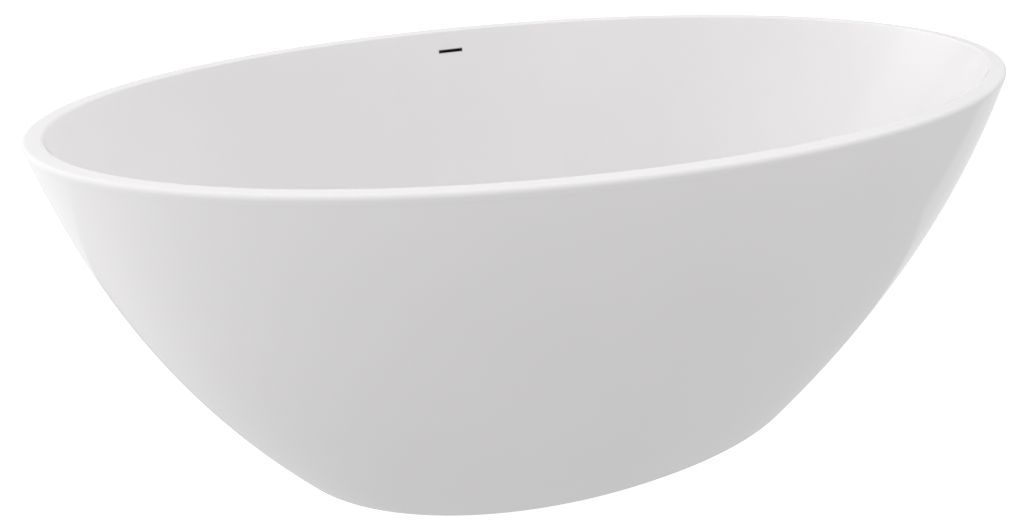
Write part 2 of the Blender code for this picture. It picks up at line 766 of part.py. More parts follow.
def build_banjo(made_of):
    """The collar that takes the overflow hose, hollow inside, clamped round the waste tube."""
    low_inside = BANJO_BOTTOM + BANJO_WALL
    high_inside = BANJO_TOP - BANJO_WALL
    banjo = turned_ring(
        "overflow_banjo",
        [
            (BANJO_RADIUS, BANJO_BOTTOM),
            (BANJO_RADIUS, BANJO_TOP),
            (WASHER_BORE, BANJO_TOP),
            (WASHER_BORE, high_inside),
            (BANJO_CHAMBER, high_inside),
            (BANJO_CHAMBER, low_inside),
            (WASHER_BORE, low_inside),
            (WASHER_BORE, BANJO_BOTTOM),
        ],
        made_of,
    )
    start = (BANJO_CHAMBER + BANJO_RADIUS) / 2
    end = BANJO_RADIUS + SPIGOT_LENGTH
    spigot = capped_body("banjo_spigot_blank", cylinder_rings(0, 0, start, end, SPIGOT_RADIUS), None)
    bore = cutter("banjo_bore", [cylinder_rings(0, 0, WASHER_BORE, end + PLAY, SPIGOT_BORE)])
    for helper in (spigot, bore):
        helper.location = (0, 0, BANJO_MIDDLE)
        helper.rotation_euler = (-math.pi / 2, 0, 0)
    combine(banjo, hide_helper(spigot), "UNION")
    combine(banjo, bore, "DIFFERENCE")


def build_waste(chrome, rubber, plastic):
    build_waste_flange(chrome)
    build_washer("waste_gasket", RECESS_FLOOR + FIT, GASKET_THICKNESS, FLANGE_RADIUS, rubber)
    build_washer("waste_washer_upper", BANJO_TOP + FIT, WASHER_THICKNESS, WASHER_RADIUS, rubber)
    build_banjo(plastic)
    lower = BANJO_BOTTOM - FIT - WASHER_THICKNESS
    build_washer("waste_washer_lower", lower, WASHER_THICKNESS, BANJO_RADIUS, rubber)
    nut_top = lower - FIT
    nut = nut_rings(BACKNUT_FLATS, WASHER_BORE + PLAY, nut_top - BACKNUT_HEIGHT, nut_top)
    ringed_body("waste_backnut", nut, plastic)


# ---------------------------------------------------------------- click plug


def build_plug(chrome, rubber, steel, plastic):
    """The plug that lifts on its stem, over a sprung cartridge under the flange's hub."""
    seal_low = FLANGE_TOP + FIT
    seal_high = seal_low + SEAL_THICKNESS
    cap_low = seal_high + FIT
    cap_edge = cap_low + CAP_THICKNESS
    boss_low = cap_low - CAP_BOSS_LENGTH
    socket = STEM_RADIUS + PLAY
    socket_top = cap_low - STEM_RADIUS
    cap_profile = [
        (socket, socket_top),
        (socket, boss_low),
        (CAP_BOSS_RADIUS, boss_low),
        (CAP_BOSS_RADIUS, cap_low),
        (CAP_RADIUS - CAP_DOME * 0.3, cap_low),
        (CAP_RADIUS, cap_low + CAP_THICKNESS * 0.4),
        (CAP_RADIUS - CAP_DOME * 0.5, cap_edge),
        (CAP_RADIUS * 0.6, cap_edge + CAP_DOME * 0.75),
        (CAP_RADIUS * 0.2, cap_edge + CAP_DOME),
    ]
    turned_solid("plug_cap", cap_profile, chrome)
    build_washer("plug_seal", seal_low, SEAL_THICKNESS, SEAL_RADIUS, rubber, CAP_BOSS_RADIUS + FIT)
    collar_bottom = COLLAR_TOP - COLLAR_HEIGHT
    stem_profile = [
        (COLLAR_RADIUS, collar_bottom),
        (COLLAR_RADIUS, COLLAR_TOP),
        (STEM_RADIUS, COLLAR_TOP),
        (STEM_RADIUS, socket_top - FIT),
    ]
    turned_solid("plug_stem", stem_profile, steel, SMALL_SIDES)
    cartridge_top = HUB_TOP - HUB_HEIGHT - FIT
    spring_seat = CARTRIDGE_BOTTOM + CARTRIDGE_FLOOR
    cartridge_profile = [
        (CARTRIDGE_RADIUS * 0.8, CARTRIDGE_BOTTOM),
        (CARTRIDGE_RADIUS, CARTRIDGE_BOTTOM + CARTRIDGE_FLOOR * 0.5),
        (CARTRIDGE_RADIUS, cartridge_top),
        (CARTRIDGE_BORE, cartridge_top),
        (CARTRIDGE_BORE, spring_seat),
    ]
    turned_solid("plug_cartridge", cartridge_profile, plastic)
    build_spring(spring_seat + FIT + SPRING_WIRE, collar_bottom - FIT - SPRING_WIRE, steel)


def build_spring(low, high, made_of):
    """The cartridge's compression spring, wound round the plug's axis."""
    steps = SPRING_TURNS * SPRING_STEPS
    centres = []
    for i in range(steps + 1):
        angle = math.tau * i / SPRING_STEPS
        height = low + (high - low) * i / steps
        centres.append(Vector((SPRING_RADIUS * math.cos(angle), SPRING_RADIUS * math.sin(angle), height)))
    capped_body("plug_spring", swept_rings(centres, SPRING_WIRE, SPRING_SIDES), made_of)


# ---------------------------------------------------------------- overflow and hose


def slot_height():
    return TUB_HEIGHT - SLOT_DEPTH


def wall_lean():
    """How far the basin's side wall moves out for each metre it rises, at the slot."""
    step = 0.001
    upper = basin_half_sizes(basin_up(slot_height() + step))[1]
    lower = basin_half_sizes(basin_up(slot_height() - step))[1]
    return (upper - lower) / (2 * step)


def wall_face(thickness=0.0):
    """How far from the middle line the basin's wall stands at the slot, at a depth in its thickness."""
    return basin_half_sizes(basin_up(slot_height()))[1] + thickness * math.hypot(1, wall_lean())


def leaning_rectangle(length, height, face, lean):
    """A rectangle round the slot's axis, its plane leaning with the basin's wall."""
    corners = [(-1, -1), (1, -1), (1, 1), (-1, 1)]
    points = []
    for side, up in corners:
        rise = up * height / 2
        points.append(Vector((side * length / 2, face + lean * rise, slot_height() + rise)))
    return points


def build_slot(inner_shell):
    """Cuts the overflow slot level through the back wall."""
    half_length = SLOT_LENGTH / 2
    half_height = SLOT_HEIGHT / 2
    near = wall_face() - RIM_WIDTH
    far = wall_face() + RIM_WIDTH / 2
    low = (-half_length, near, slot_height() - half_height)
    high = (half_length, far, slot_height() + half_height)
    combine(inner_shell, cutter("slot_opening", [box_rings(low, high)]), "DIFFERENCE")


def build_overflow_trim(made_of):
    """The thin liner that finishes the slot and leads the water through the wall."""
    length = SLOT_LENGTH - 2 * FIT
    height = SLOT_HEIGHT - 2 * FIT
    front = wall_face() - LINER_PROUD
    back = front + LINER_LENGTH
    rings = [
        leaning_rectangle(length, height, front, wall_lean()),
        leaning_rectangle(length, height, back, 0),
        leaning_rectangle(length - 2 * SLOT_LINER, height - 2 * SLOT_LINER, back, 0),
        leaning_rectangle(length - 2 * SLOT_LINER, height - 2 * SLOT_LINER, front, wall_lean()),
    ]
    ringed_body("overflow_trim", rings, made_of)


def overflow_body_front():
    """Where the wedge-shaped gasket ends and the overflow body starts."""
    return wall_face(INNER_WALL) + FIT + wall_lean() * GASKET_HEIGHT / 2 + GASKET_LEAST


def build_overflow_gasket(made_of):
    """A wedge-shaped gasket, which makes up the lean of the wall behind the slot."""
    front = wall_face(INNER_WALL) + FIT
    back = overflow_body_front()
    opening = (SLOT_LENGTH + 2 * PLAY, SLOT_HEIGHT + 2 * PLAY)
    rings = [
        leaning_rectangle(GASKET_LENGTH, GASKET_HEIGHT, front, wall_lean()),
        leaning_rectangle(GASKET_LENGTH, GASKET_HEIGHT, back, 0),
        leaning_rectangle(*opening, back, 0),
        leaning_rectangle(*opening, front, wall_lean()),
    ]
    ringed_body("overflow_gasket", rings, made_of)


def overflow_body_bottom():
    return slot_height() - GASKET_HEIGHT / 2 - OVERFLOW_SUMP


def spigot_frame():
    """The overflow spigot's own frame: its +Z runs down along the hose."""
    top = Vector((0, SPIGOT_Y, overflow_body_bottom()))
    return Matrix.Translation(top) @ Matrix.Rotation(math.pi - SPIGOT_TILT, 4, "X")


def build_overflow_body(made_of):
    """The flat box behind the slot, with a spigot that leads down to the hose."""
    front = overflow_body_front() + FIT
    back = front + OVERFLOW_BODY_DEPTH
    half_length = GASKET_LENGTH / 2
    bottom = overflow_body_bottom()
    top = slot_height() + GASKET_HEIGHT / 2
    wall = OVERFLOW_BODY_WALL
    low = (-half_length, front, bottom)
    high = (half_length, back, top)
    body = capped_body("overflow_body", box_rings(low, high), made_of)
    blank = capped_body(
        "overflow_spigot_blank", cylinder_rings(0, 0, -wall, SPIGOT_LENGTH, SPIGOT_RADIUS), None
    )
    bore = cutter("overflow_bore", [cylinder_rings(0, 0, -2 * wall, SPIGOT_LENGTH + PLAY, SPIGOT_BORE)])
    inner_low = (-half_length + wall, front - PLAY, bottom + wall)
    inner_high = (half_length - wall, back - wall, top - wall)
    room = cutter("overflow_room", [box_rings(inner_low, inner_high)])
    for helper in (blank, bore):
        helper.matrix_world = spigot_frame()
    combine(body, hide_helper(blank), "UNION")
    combine(body, room, "DIFFERENCE")
    combine(body, bore, "DIFFERENCE")


def swept_rings(centres, radius, sides):
    """Rings square to a path, each turned as little as it can be from the one before."""
    rings = []
    across = None
    for i, centre in enumerate(centres):
        ahead = centres[min(i + 1, len(centres) - 1)]
        behind = centres[max(i - 1, 0)]
        along = (ahead - behind).normalized()
        if across is None:
            across = along.orthogonal()
        across = (across - along * across.dot(along)).normalized()
        other = along.cross(across)
        angles = [math.tau * j / sides for j in range(sides)]
        rings.append([centre + radius * (across * math.cos(a) + other * math.sin(a)) for a in angles])
    return rings


def smooth_path(points, steps):
    """A Catmull-Rom curve through the points, with as many steps between each two."""
    path = []
    for i in range(len(points) - 1):
        before = points[max(i - 1, 0)]
        start = points[i]
        end = points[i + 1]
        after = points[min(i + 2, len(points) - 1)]
        for step in range(steps):
            t = step / steps
            path.append(
                0.5
                * (
                    2 * start
                    + (end - before) * t
                    + (2 * before - 5 * start + 4 * end - after) * t**2
                    + (3 * start - before - 3 * end + after) * t**3
                )
            )
    return path + [points[-1]]


def middle_of_gap(height):
    """A point halfway between the basin's wall and the skirt, behind the slot."""
    wall = basin_back_point(math.pi / 2, basin_up(height)).y
    skirt = skirt_inner_half_sizes(height)[1]
    return Vector((0, (wall + skirt) / 2, height))


def hose_path():
    """From the overflow's spigot, down between the two skins and under the basin to the banjo."""
    frame = spigot_frame()
    grip = SPIGOT_LENGTH - HOSE_START
    start = [frame @ Vector((0, 0, z)) for z in (HOSE_START, SPIGOT_LENGTH)]
    between = [middle_of_gap(height) for height in (0.43, 0.34, 0.25, 0.19)]
    end_y = BANJO_RADIUS + HOSE_START
    below = [
        Vector((0, 0.262, 0.133)),
        Vector((0, 0.200, BANJO_MIDDLE)),
        Vector((0, 0.120, BANJO_MIDDLE)),
        Vector((0, end_y + grip, BANJO_MIDDLE)),
        Vector((0, end_y, BANJO_MIDDLE)),
    ]
    return smooth_path(start + between + below, HOSE_STEPS)


def build_hose(made_of):
    path = hose_path()
    outside = swept_rings(path, HOSE_RADIUS, HOSE_SIDES)
    inside = swept_rings(path, HOSE_BORE, HOSE_SIDES)
    ringed_body("overflow_hose", outside + inside[::-1], made_of)


def build_hose_clip(name, frame, made_of):
    """A band round the hose, with the small screw housing that draws it tight."""
    bore = HOSE_RADIUS + PLAY
    outside = bore + CLIP_THICKNESS
    low = HOSE_START + CLIP_FROM_END
    high = low + CLIP_WIDTH
    band = turned_ring(name, [(outside, low), (outside, high), (bore, high), (bore, low)], made_of)
    overlap = CLIP_THICKNESS / 2
    length = 4 * CLIP_SCREW_RADIUS
    housing_low = (outside - overlap, -length / 2, low + CLIP_THICKNESS)
    housing_high = (outside + 2 * CLIP_SCREW_RADIUS, length / 2, high - CLIP_THICKNESS)
    housing = capped_body(f"{name}_blank", box_rings(housing_low, housing_high), None)
    for piece in (band, housing):
        piece.matrix_world = frame
    combine(band, hide_helper(housing), "UNION")


def build_overflow(inner_shell, chrome, rubber, plastic, hose_plastic, steel):
    build_slot(inner_shell)
    build_overflow_trim(chrome)
    build_overflow_gasket(rubber)
    build_overflow_body(plastic)
    build_hose(hose_plastic)
    build_hose_clip("hose_clip_top", spigot_frame(), steel)
    banjo_frame = Matrix.Translation((0, BANJO_RADIUS, BANJO_MIDDLE)) @ Matrix.Rotation(-math.pi / 2, 4, "X")
    build_hose_clip("hose_clip_bottom", banjo_frame, steel)


def main():
    clear_scene()
    acrylic = material("acrylic_white", (0.86, 0.86, 0.86), 0.12)
    resin = material("bonding_resin", (0.72, 0.70, 0.62), 0.6)
    board = material("particle_board", (0.52, 0.38, 0.24), 0.75)
    galvanised = material("galvanised_steel", (0.55, 0.57, 0.58), 0.45, 0.9)
    zinc = material("zinc_fasteners", (0.68, 0.68, 0.66), 0.35, 1.0)
    rubber = material("black_rubber", (0.03, 0.03, 0.03), 0.8)
    foot_plastic = material("foot_plastic", (0.05, 0.05, 0.055), 0.55)
    adhesive = material("grey_adhesive", (0.35, 0.35, 0.36), 0.7)
    chrome = material("chrome", (0.80, 0.80, 0.82), 0.08, 1.0)
    dark_plastic = material("dark_plastic", (0.10, 0.10, 0.105), 0.45)
    hose_plastic = material("grey_hose", (0.42, 0.43, 0.44), 0.5)

    inner_shell = build_inner_shell(acrylic)
    build_outer_shell(acrylic)
    build_rim_bond_bead(resin)
    screw_holes = build_screw_holes()
    build_base_board(board, screw_holes)
    build_rails(galvanised)
    build_cross_tubes(galvanised, screw_holes)
    build_board_screws(zinc)
    build_feet(foot_plastic, zinc)
    build_skirt_brackets(galvanised, adhesive)
    build_waste(chrome, rubber, dark_plastic)
    build_plug(chrome, rubber, zinc, dark_plastic)
    build_overflow(inner_shell, chrome, rubber, dark_plastic, hose_plastic, zinc)


main()
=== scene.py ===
"""The looks of a freestanding double-skin bathtub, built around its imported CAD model.

Metres, in the CAD's own frame: +X along the tub, +Z up, the origin on the floor under its middle.
"""

import json
import math

import bmesh
import bpy
from mathutils import Matrix, Vector


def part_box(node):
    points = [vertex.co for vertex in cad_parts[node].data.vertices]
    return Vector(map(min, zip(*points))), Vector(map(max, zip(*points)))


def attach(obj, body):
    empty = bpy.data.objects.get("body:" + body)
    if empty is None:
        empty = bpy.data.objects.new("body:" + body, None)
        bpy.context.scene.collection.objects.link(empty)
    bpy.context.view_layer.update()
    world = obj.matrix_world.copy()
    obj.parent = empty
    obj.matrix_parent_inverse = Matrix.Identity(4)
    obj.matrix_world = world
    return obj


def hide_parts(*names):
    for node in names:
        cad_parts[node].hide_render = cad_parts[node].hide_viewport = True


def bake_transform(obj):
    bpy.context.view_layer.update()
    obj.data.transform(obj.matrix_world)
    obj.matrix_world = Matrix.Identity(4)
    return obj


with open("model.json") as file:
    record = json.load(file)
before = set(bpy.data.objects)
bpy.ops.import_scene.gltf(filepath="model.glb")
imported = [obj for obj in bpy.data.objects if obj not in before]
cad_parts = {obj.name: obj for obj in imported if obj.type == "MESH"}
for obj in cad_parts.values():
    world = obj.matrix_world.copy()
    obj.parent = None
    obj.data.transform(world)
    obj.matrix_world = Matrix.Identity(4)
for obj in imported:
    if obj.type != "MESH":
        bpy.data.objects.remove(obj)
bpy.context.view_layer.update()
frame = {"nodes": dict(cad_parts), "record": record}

# ---------------------------------------------------------------- shells: sizes shared with the CAD

TUB_LENGTH = 1.65
TUB_WIDTH = 0.90
TUB_HEIGHT = 0.58
RIM_WIDTH = 0.027
BASE_LENGTH = 1.00
BASE_WIDTH = 0.58
BASE_EXPONENT = 2.1
END_STRAIGHT_SHARE = 0.5
END_POWER = 2.4
SIDE_POWER = 1.7
BASIN_FLOOR = 0.140
BASIN_FLOOR_LENGTH = 0.84
BASIN_FLOOR_WIDTH = 0.43
BASIN_FLOOR_EXPONENT = 2.3
INNER_WALL = 0.006
OUTER_WALL = 0.005
SKIRT_BOTTOM = 0.003
LIP_HEIGHT = 0.012
WASTE_HOLE_RADIUS = 0.024
WASTE_RECESS_DEPTH = 0.0045
WASTE_RECESS_RADIUS = 0.038

# ---------------------------------------------------------------- shells: edges and fineness

INNER_EDGE_RADIUS = 0.0030
OUTER_EDGE_RADIUS = 0.0065
FOOT_EDGE_RADIUS = 0.0015
SEAM = 0.00002
SHELL_SEGMENTS = 288
WALL_RINGS = 56
SKIRT_RINGS = 48
SKIRT_INNER_STRIDE = 4
FLOOR_STEPS = 10
RIM_STEPS = 4
LIP_SHARES = (0.4, 0.8, 1.0)
ARC_STEPS = 8
SMOOTH_ANGLE = 32

# Steps over which slopes are measured: in height, round the outline, and in the basin's 0 to 1 rise
SLOPE_STEP = 0.001
TURN_STEP = 0.001
RISE_STEP = 0.0001

# ---------------------------------------------------------------- turned pieces

ROUND_SIDES = 96
PAD_SIDES = 64
SMALL_SIDES = 48
STUD_SIDES = 32
SCREW_SIDES = 24
FIT = 0.0003

# One turn of a thread: the share of its pitch, and whether the point is on the crest
THREAD_TURN = ((0.08, False), (0.42, True), (0.58, True), (0.92, False))

# ---------------------------------------------------------------- feet and screws

FEET = (1, 2, 3, 4)
NUT_CHAMFER = 0.00085
STUD_RADIUS = 0.005
STUD_BORE = 0.0055
STUD_CHAMFER = 0.001
STUD_THREAD_DEPTH = 0.0007
STUD_PITCH = 0.0015
COLLAR_RADIUS = 0.0085
COLLAR_HEIGHT = 0.005
COLLAR_CHAMFER = 0.0005

# The foot pad's rounding, the height of its tread, and its sloping top, as shares of radius and height
PAD_EDGE = 0.06
PAD_TREAD = 0.32
PAD_SLOPE = ((0.80, 0.40), (0.60, 0.50), (0.47, 0.60), (0.40, 0.70))

# Board screws: the shaft's radius and the head's depth as shares of the head's radius
BOARD_SCREWS = range(1, 9)
SCREW_SHAFT = 0.53
SCREW_DEPTH = 0.66
SCREW_PITCH = 0.0018
SCREW_THREAD_DEPTH = 0.3
SCREW_THREAD_START = 1.5
# The head's crown: shares of its radius, and its height and the height of its edge as shares of its depth
SCREW_CROWN = (0.15, 0.5, 0.8, 0.95)
SCREW_CROWN_HEIGHT = 0.8
SCREW_EDGE_HEIGHT = 0.85
# The cross recess: length and width as shares of the head's radius
RECESS_LENGTH = 1.2
RECESS_WIDTH = 0.22

# ---------------------------------------------------------------- waste

TUBE_RADIUS = 0.0225
TUBE_BORE = 0.0200
TUBE_PITCH = 0.0022
TUBE_THREAD_DEPTH = 0.0009
TUBE_THREAD_TOP = 0.0924
TUBE_CHAMFER = 0.001
TUBE_END_BEVEL = 0.0008
FLANGE_THICKNESS = 0.0025
FLANGE_BEVEL = 0.0011
FLANGE_ROLL = 0.0018
FLANGE_LIP = 0.0004
HUB_RADIUS = 0.0105
HUB_HEIGHT = 0.007
HUB_TOP = 0.126
HUB_EDGE = 0.0006
RIB_WIDTH = 0.003
RIB_INSET = 0.0005
STEM_BORE = 0.0040
WINDOW_WIDTH = 0.010
WINDOW_HEIGHT = 0.008
WINDOW_NEAR = 0.01155
WINDOW_FAR = 0.027
BANJO_MIDDLE = 0.1134
BANJO_RADIUS = 0.034
BANJO_CHAMBER = 0.029
BANJO_WALL = 0.004
BANJO_BORE = 0.0228
BANJO_CHAMFER = 0.001
BACKNUT_CHAMFER = 0.0012
SEAL_EDGE_SHARE = 0.35

# The banjo's spigot, with barbs for the hose
SPIGOT_RADIUS = 0.0070
SPIGOT_BORE = 0.0052
SPIGOT_BARBS = 4
BARB_PITCH = 0.004
BARB_SLOPE_SHARE = 0.9
BARB_HEIGHT = 0.00035

# ---------------------------------------------------------------- plug

BOSS_RADIUS = 0.0065
BOSS_HEIGHT = 0.012
BOSS_EDGE = 0.0005
SOCKET_ROOF = 0.0035
CAP_EDGE = 0.0012
CAP_RIM_HEIGHT = 0.0028
CROWN_STEPS = 14
STEM_RADIUS = 0.0035
STEM_COLLAR_TOP = 0.1065
CARTRIDGE_BORE = 0.0075
CARTRIDGE_FLOOR = 0.002
CARTRIDGE_END_SHARE = 0.8
CARTRIDGE_GROOVES = (0.3, 0.5, 0.7)
MOULDED_EDGE = 0.0004
SPRING_WIRE = 0.0006
SPRING_COIL = 0.0055
SPRING_TURNS = 5
SPRING_STEPS = 32
SPRING_SIDES = 10

# ---------------------------------------------------------------- overflow

SLOT_DEPTH = 0.037
SLOT_LENGTH = 0.052
SLOT_HEIGHT = 0.0072
LINER_WALL = 0.0008
LINER_CORNER = 0.0007
CORNER_STEPS = 5

# The liner's rounded front: how far in and how far behind the front, in walls, and its corner's share
LINER_FRONT = ((0.0, 0.5, 1.0), (0.3, 0.15, 1.0), (1.0, 0.0, 0.8), (1.7, 0.15, 0.5), (2.0, 0.5, 0.4))

# The overflow body's spigot, which points down and leans with the wall
DOWN_SPIGOT_TILT = math.radians(12.5)
DOWN_SPIGOT_Y = 0.430
DOWN_SPIGOT_DROP = 0.017
DOWN_SPIGOT_LENGTH = 0.022

# The hose: heights that it passes between the two skins, then its turn in under the basin, as (y, height)
HOSE_START = 0.004
HOSE_GAP_HEIGHTS = (0.43, 0.34, 0.25, 0.19)
HOSE_TURN = ((0.262, 0.133), (0.200, BANJO_MIDDLE), (0.120, BANJO_MIDDLE))
HOSE_PATH_STEPS = 24
HOSE_RADIUS = 0.0095
HOSE_BORE = 0.0074
HOSE_RIB_PITCH = 0.0045
HOSE_RIB_DEPTH = 0.0009
HOSE_RINGS_PER_RIB = 6
HOSE_CUFF = 0.020
HOSE_SIDES = 24
HOSE_SMOOTH_ANGLE = 60

# ---------------------------------------------------------------- camera and studio

CAMERA_AZIMUTH = -0.477
CAMERA_ELEVATION = 0.430
CAMERA_DISTANCE = 1.57
CAMERA_TARGET = Vector((-0.266, 0.0, 0.29))
CAMERA_LENS = 34.92
CAMERA_SENSOR = 36.0
CAMERA_SHIFT = (0.0835, 0.0102)

FLOOR_RADIUS = 60.0
FLOOR_THICKNESS = 0.02
WALL_HEIGHT = 60.0
WALL_THICKNESS = 0.5
FLOOR_GLOW = 0.6
WORLD_LIGHT = 0.677

# Each light's position, the point it faces, its size and its power
SOFTBOXES = {
    "overhead": ((0.6, 0.0, 3.2), (0.3, 0.0, 0.0), (4.0, 3.0), 35),
    "front_high": ((0.0, -3.0, 2.6), (0.0, 0.0, 0.3), (3.0, 2.0), 10),
    "left_mid": ((-3.3, 0.2, 1.6), (0.0, 0.0, 0.4), (2.0, 1.6), 38),
    "left_back_low": ((-2.8, 2.0, 0.6), (-0.6, 0.0, 0.3), (2.0, 1.0), 32),
    "right_mid": ((3.3, 0.0, 1.6), (0.0, 0.0, 0.4), (2.0, 1.6), 13),
    "back_high": ((0.0, 3.0, 2.6), (0.0, 0.0, 0.3), (3.0, 2.0), 19),
}

# Soft-edged cards that show only in the gloss, each with the share of its size that glows evenly
CARDS = {
    "left_card": ((-1.24, 0.585, 0.2), (-1.07, 0.1, 0.2), (1.6, 0.4), 0.28, 0.95),
    "right_card": ((5.0, 3.75, -1.65), (0.45, -0.36, 0.45), (8.4, 2.4), 6.0, 0.6),
    "basin_card": ((-0.17, 1.6, 1.25), (0.68, 1.15, 1.0), (2.2, 1.1), 2.35, 0.4),
}
CARD_LAYERS = 4
CARD_SPREAD = math.radians(120)


# ---------------------------------------------------------------- outlines


def skirt_half_sizes(height):
    """Half length, half width and exponent of the skirt's outer outline at a height."""
    up = height / TUB_HEIGHT
    end = END_STRAIGHT_SHARE * up + (1 - END_STRAIGHT_SHARE) * (1 - (1 - up) ** END_POWER)
    side = 1 - (1 - up) ** SIDE_POWER
    half_length = (BASE_LENGTH + (TUB_LENGTH - BASE_LENGTH) * end) / 2
    half_width = (BASE_WIDTH + (TUB_WIDTH - BASE_WIDTH) * side) / 2
    return half_length, half_width, BASE_EXPONENT + (2 - BASE_EXPONENT) * up


def skirt_inner_half_sizes(height):
    """The outline of the skirt's inner face, one wall thickness square to its outer face."""
    length, width, exponent = skirt_half_sizes(height)
    lower_length, lower_width, _ = skirt_half_sizes(height - SLOPE_STEP)
    length -= OUTER_WALL * math.hypot(1, (length - lower_length) / SLOPE_STEP)
    width -= OUTER_WALL * math.hypot(1, (width - lower_width) / SLOPE_STEP)
    return length, width, exponent


def basin_half_sizes(up):
    """Half length, half width and exponent of the basin, up being 0 at its floor and 1 at the rim."""
    reach = math.sqrt(up)
    floor_length = BASIN_FLOOR_LENGTH / 2
    floor_width = BASIN_FLOOR_WIDTH / 2
    half_length = floor_length + (TUB_LENGTH / 2 - RIM_WIDTH - floor_length) * reach
    half_width = floor_width + (TUB_WIDTH / 2 - RIM_WIDTH - floor_width) * reach
    return half_length, half_width, BASIN_FLOOR_EXPONENT + (2 - BASIN_FLOOR_EXPONENT) * up


def basin_height(up):
    return BASIN_FLOOR + (TUB_HEIGHT - BASIN_FLOOR) * up


def basin_up(height):
    return (height - BASIN_FLOOR) / (TUB_HEIGHT - BASIN_FLOOR)


def basin_half_width(height):
    """How far back the middle of the basin's wet wall is at a height."""
    return basin_half_sizes(basin_up(height))[1]


def inset_sizes(sizes, inset):
    return sizes[0] - inset, sizes[1] - inset, sizes[2]


def circle_sizes(radius):
    return radius, radius, 2


def outline_point(sizes, angle, height):
    """A point of a superellipse."""
    half_length, half_width, exponent = sizes
    along = math.copysign(abs(math.cos(angle)) ** (2 / exponent), math.cos(angle))
    across = math.copysign(abs(math.sin(angle)) ** (2 / exponent), math.sin(angle))
    return Vector((half_length * along, half_width * across, height))


def shell_angles():
    return [math.tau * i / SHELL_SEGMENTS for i in range(SHELL_SEGMENTS)]


def outline_ring(sizes, height):
    return [outline_point(sizes, angle, height) for angle in shell_angles()]


def basin_point(angle, up):
    """A point on the wet side of the basin wall."""
    return outline_point(basin_half_sizes(up), angle, basin_height(up))


def basin_back_point(angle, up):
    """The point on the dry side of the basin wall, one wall thickness square to its wet side."""
    around = basin_point(angle + TURN_STEP, up) - basin_point(angle - TURN_STEP, up)
    upward = basin_point(angle, up + RISE_STEP) - basin_point(angle, max(up - RISE_STEP, 0))
    return basin_point(angle, up) + INNER_WALL * around.cross(upward).normalized()


def blend_rings(first, last, steps):
    """Rings between two rings of equal length, neither end included."""
    return [[a.lerp(b, i / steps) for a, b in zip(first, last)] for i in range(1, steps)]


def quarter_round(radius, ring_at):
    """Rings round a quarter circle; ring_at takes how far each is from the two sides that it joins."""
    rings = []
    for i in range(ARC_STEPS + 1):
        angle = math.pi / 2 * i / ARC_STEPS
        rings.append(ring_at(radius * (1 - math.sin(angle)), radius * (1 - math.cos(angle))))
    return rings


# ---------------------------------------------------------------- meshes


def new_piece(name, builder, smooth_angle=SMOOTH_ANGLE):
    bmesh.ops.recalc_face_normals(builder, faces=builder.faces)
    mesh = bpy.data.meshes.new(name)
    builder.to_mesh(mesh)
    builder.free()
    mesh.shade_smooth()
    mesh.set_sharp_from_angle(angle=math.radians(smooth_angle))
    piece = bpy.data.objects.new(name, mesh)
    bpy.context.scene.collection.objects.link(piece)
    return piece


def skin(builder, rings, closed_round=True, dry_from=None):
    """Quads between neighbouring rings, and from the last ring back to the first if closed round.

    Faces from the ring numbered dry_from on take the piece's second material.
    """
    loops = [[builder.verts.new(point) for point in ring] for ring in rings]
    pairs = list(zip(loops, loops[1:]))
    if closed_round:
        pairs.append((loops[-1], loops[0]))
    for number, (lower, upper) in enumerate(pairs):
        count = len(lower)
        dry = dry_from is not None and number >= dry_from
        for i in range(count):
            j = (i + 1) % count
            face = builder.faces.new((lower[i], lower[j], upper[j], upper[i]))
            face.material_index = 1 if dry else 0
    return loops


def ringed_piece(name, rings, dry_from=None, smooth_angle=SMOOTH_ANGLE):
    builder = bmesh.new()
    skin(builder, rings, dry_from=dry_from)
    return new_piece(name, builder, smooth_angle)


def capped_piece(name, rings):
    builder = bmesh.new()
    loops = skin(builder, rings, closed_round=False)
    builder.faces.new(loops[0])
    builder.faces.new(loops[-1])
    return new_piece(name, builder)


def box_piece(name, centre, size):
    """A plain box, which other pieces are cut with or joined to."""
    builder = bmesh.new()
    bmesh.ops.create_cube(builder, size=1)
    for vert in builder.verts:
        vert.co = Vector(centre) + Vector(a * b for a, b in zip(vert.co, size))
    return new_piece(name, builder)


def combine(piece, helper, operation):
    """Adds or cuts away a helper, which is used up."""
    change = piece.modifiers.new("combine", "BOOLEAN")
    change.operation = operation
    change.solver = "EXACT"
    change.object = helper
    apply_modifiers(piece)
    discard(helper)


def apply_modifiers(piece):
    graph = bpy.context.evaluated_depsgraph_get()
    mesh = bpy.data.meshes.new_from_object(piece.evaluated_get(graph))
    old = piece.data
    piece.modifiers.clear()
    piece.data = mesh
    bpy.data.meshes.remove(old)
    mesh.set_sharp_from_angle(angle=math.radians(SMOOTH_ANGLE))


def moved_copy(name, pattern, x, y):
    mesh = pattern.data.copy()
    mesh.transform(Matrix.Translation((x, y, 0)))
    piece = bpy.data.objects.new(name, mesh)
    bpy.context.scene.collection.objects.link(piece)
    return piece


def discard(piece):
    bpy.data.objects.remove(piece, do_unlink=True)


def dress(piece, body, slot_name, replaced, *materials):
    """Puts a piece on its body, in place of its CAD node, with its materials."""
    for look in materials:
        piece.data.materials.append(look)
    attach(piece, body)
    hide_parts(*replaced)


# ---------------------------------------------------------------- shells


def rim_edge_rings():
    """The rounded outer edge of the rim, ending on the skirt's slope."""
    exponent = skirt_half_sizes(TUB_HEIGHT)[2]

    def ring_at(inset, drop):
        length, width, _ = skirt_half_sizes(TUB_HEIGHT - drop)
        return outline_ring((length - inset, width - inset, exponent), TUB_HEIGHT - drop)

    return quarter_round(OUTER_EDGE_RADIUS, ring_at)


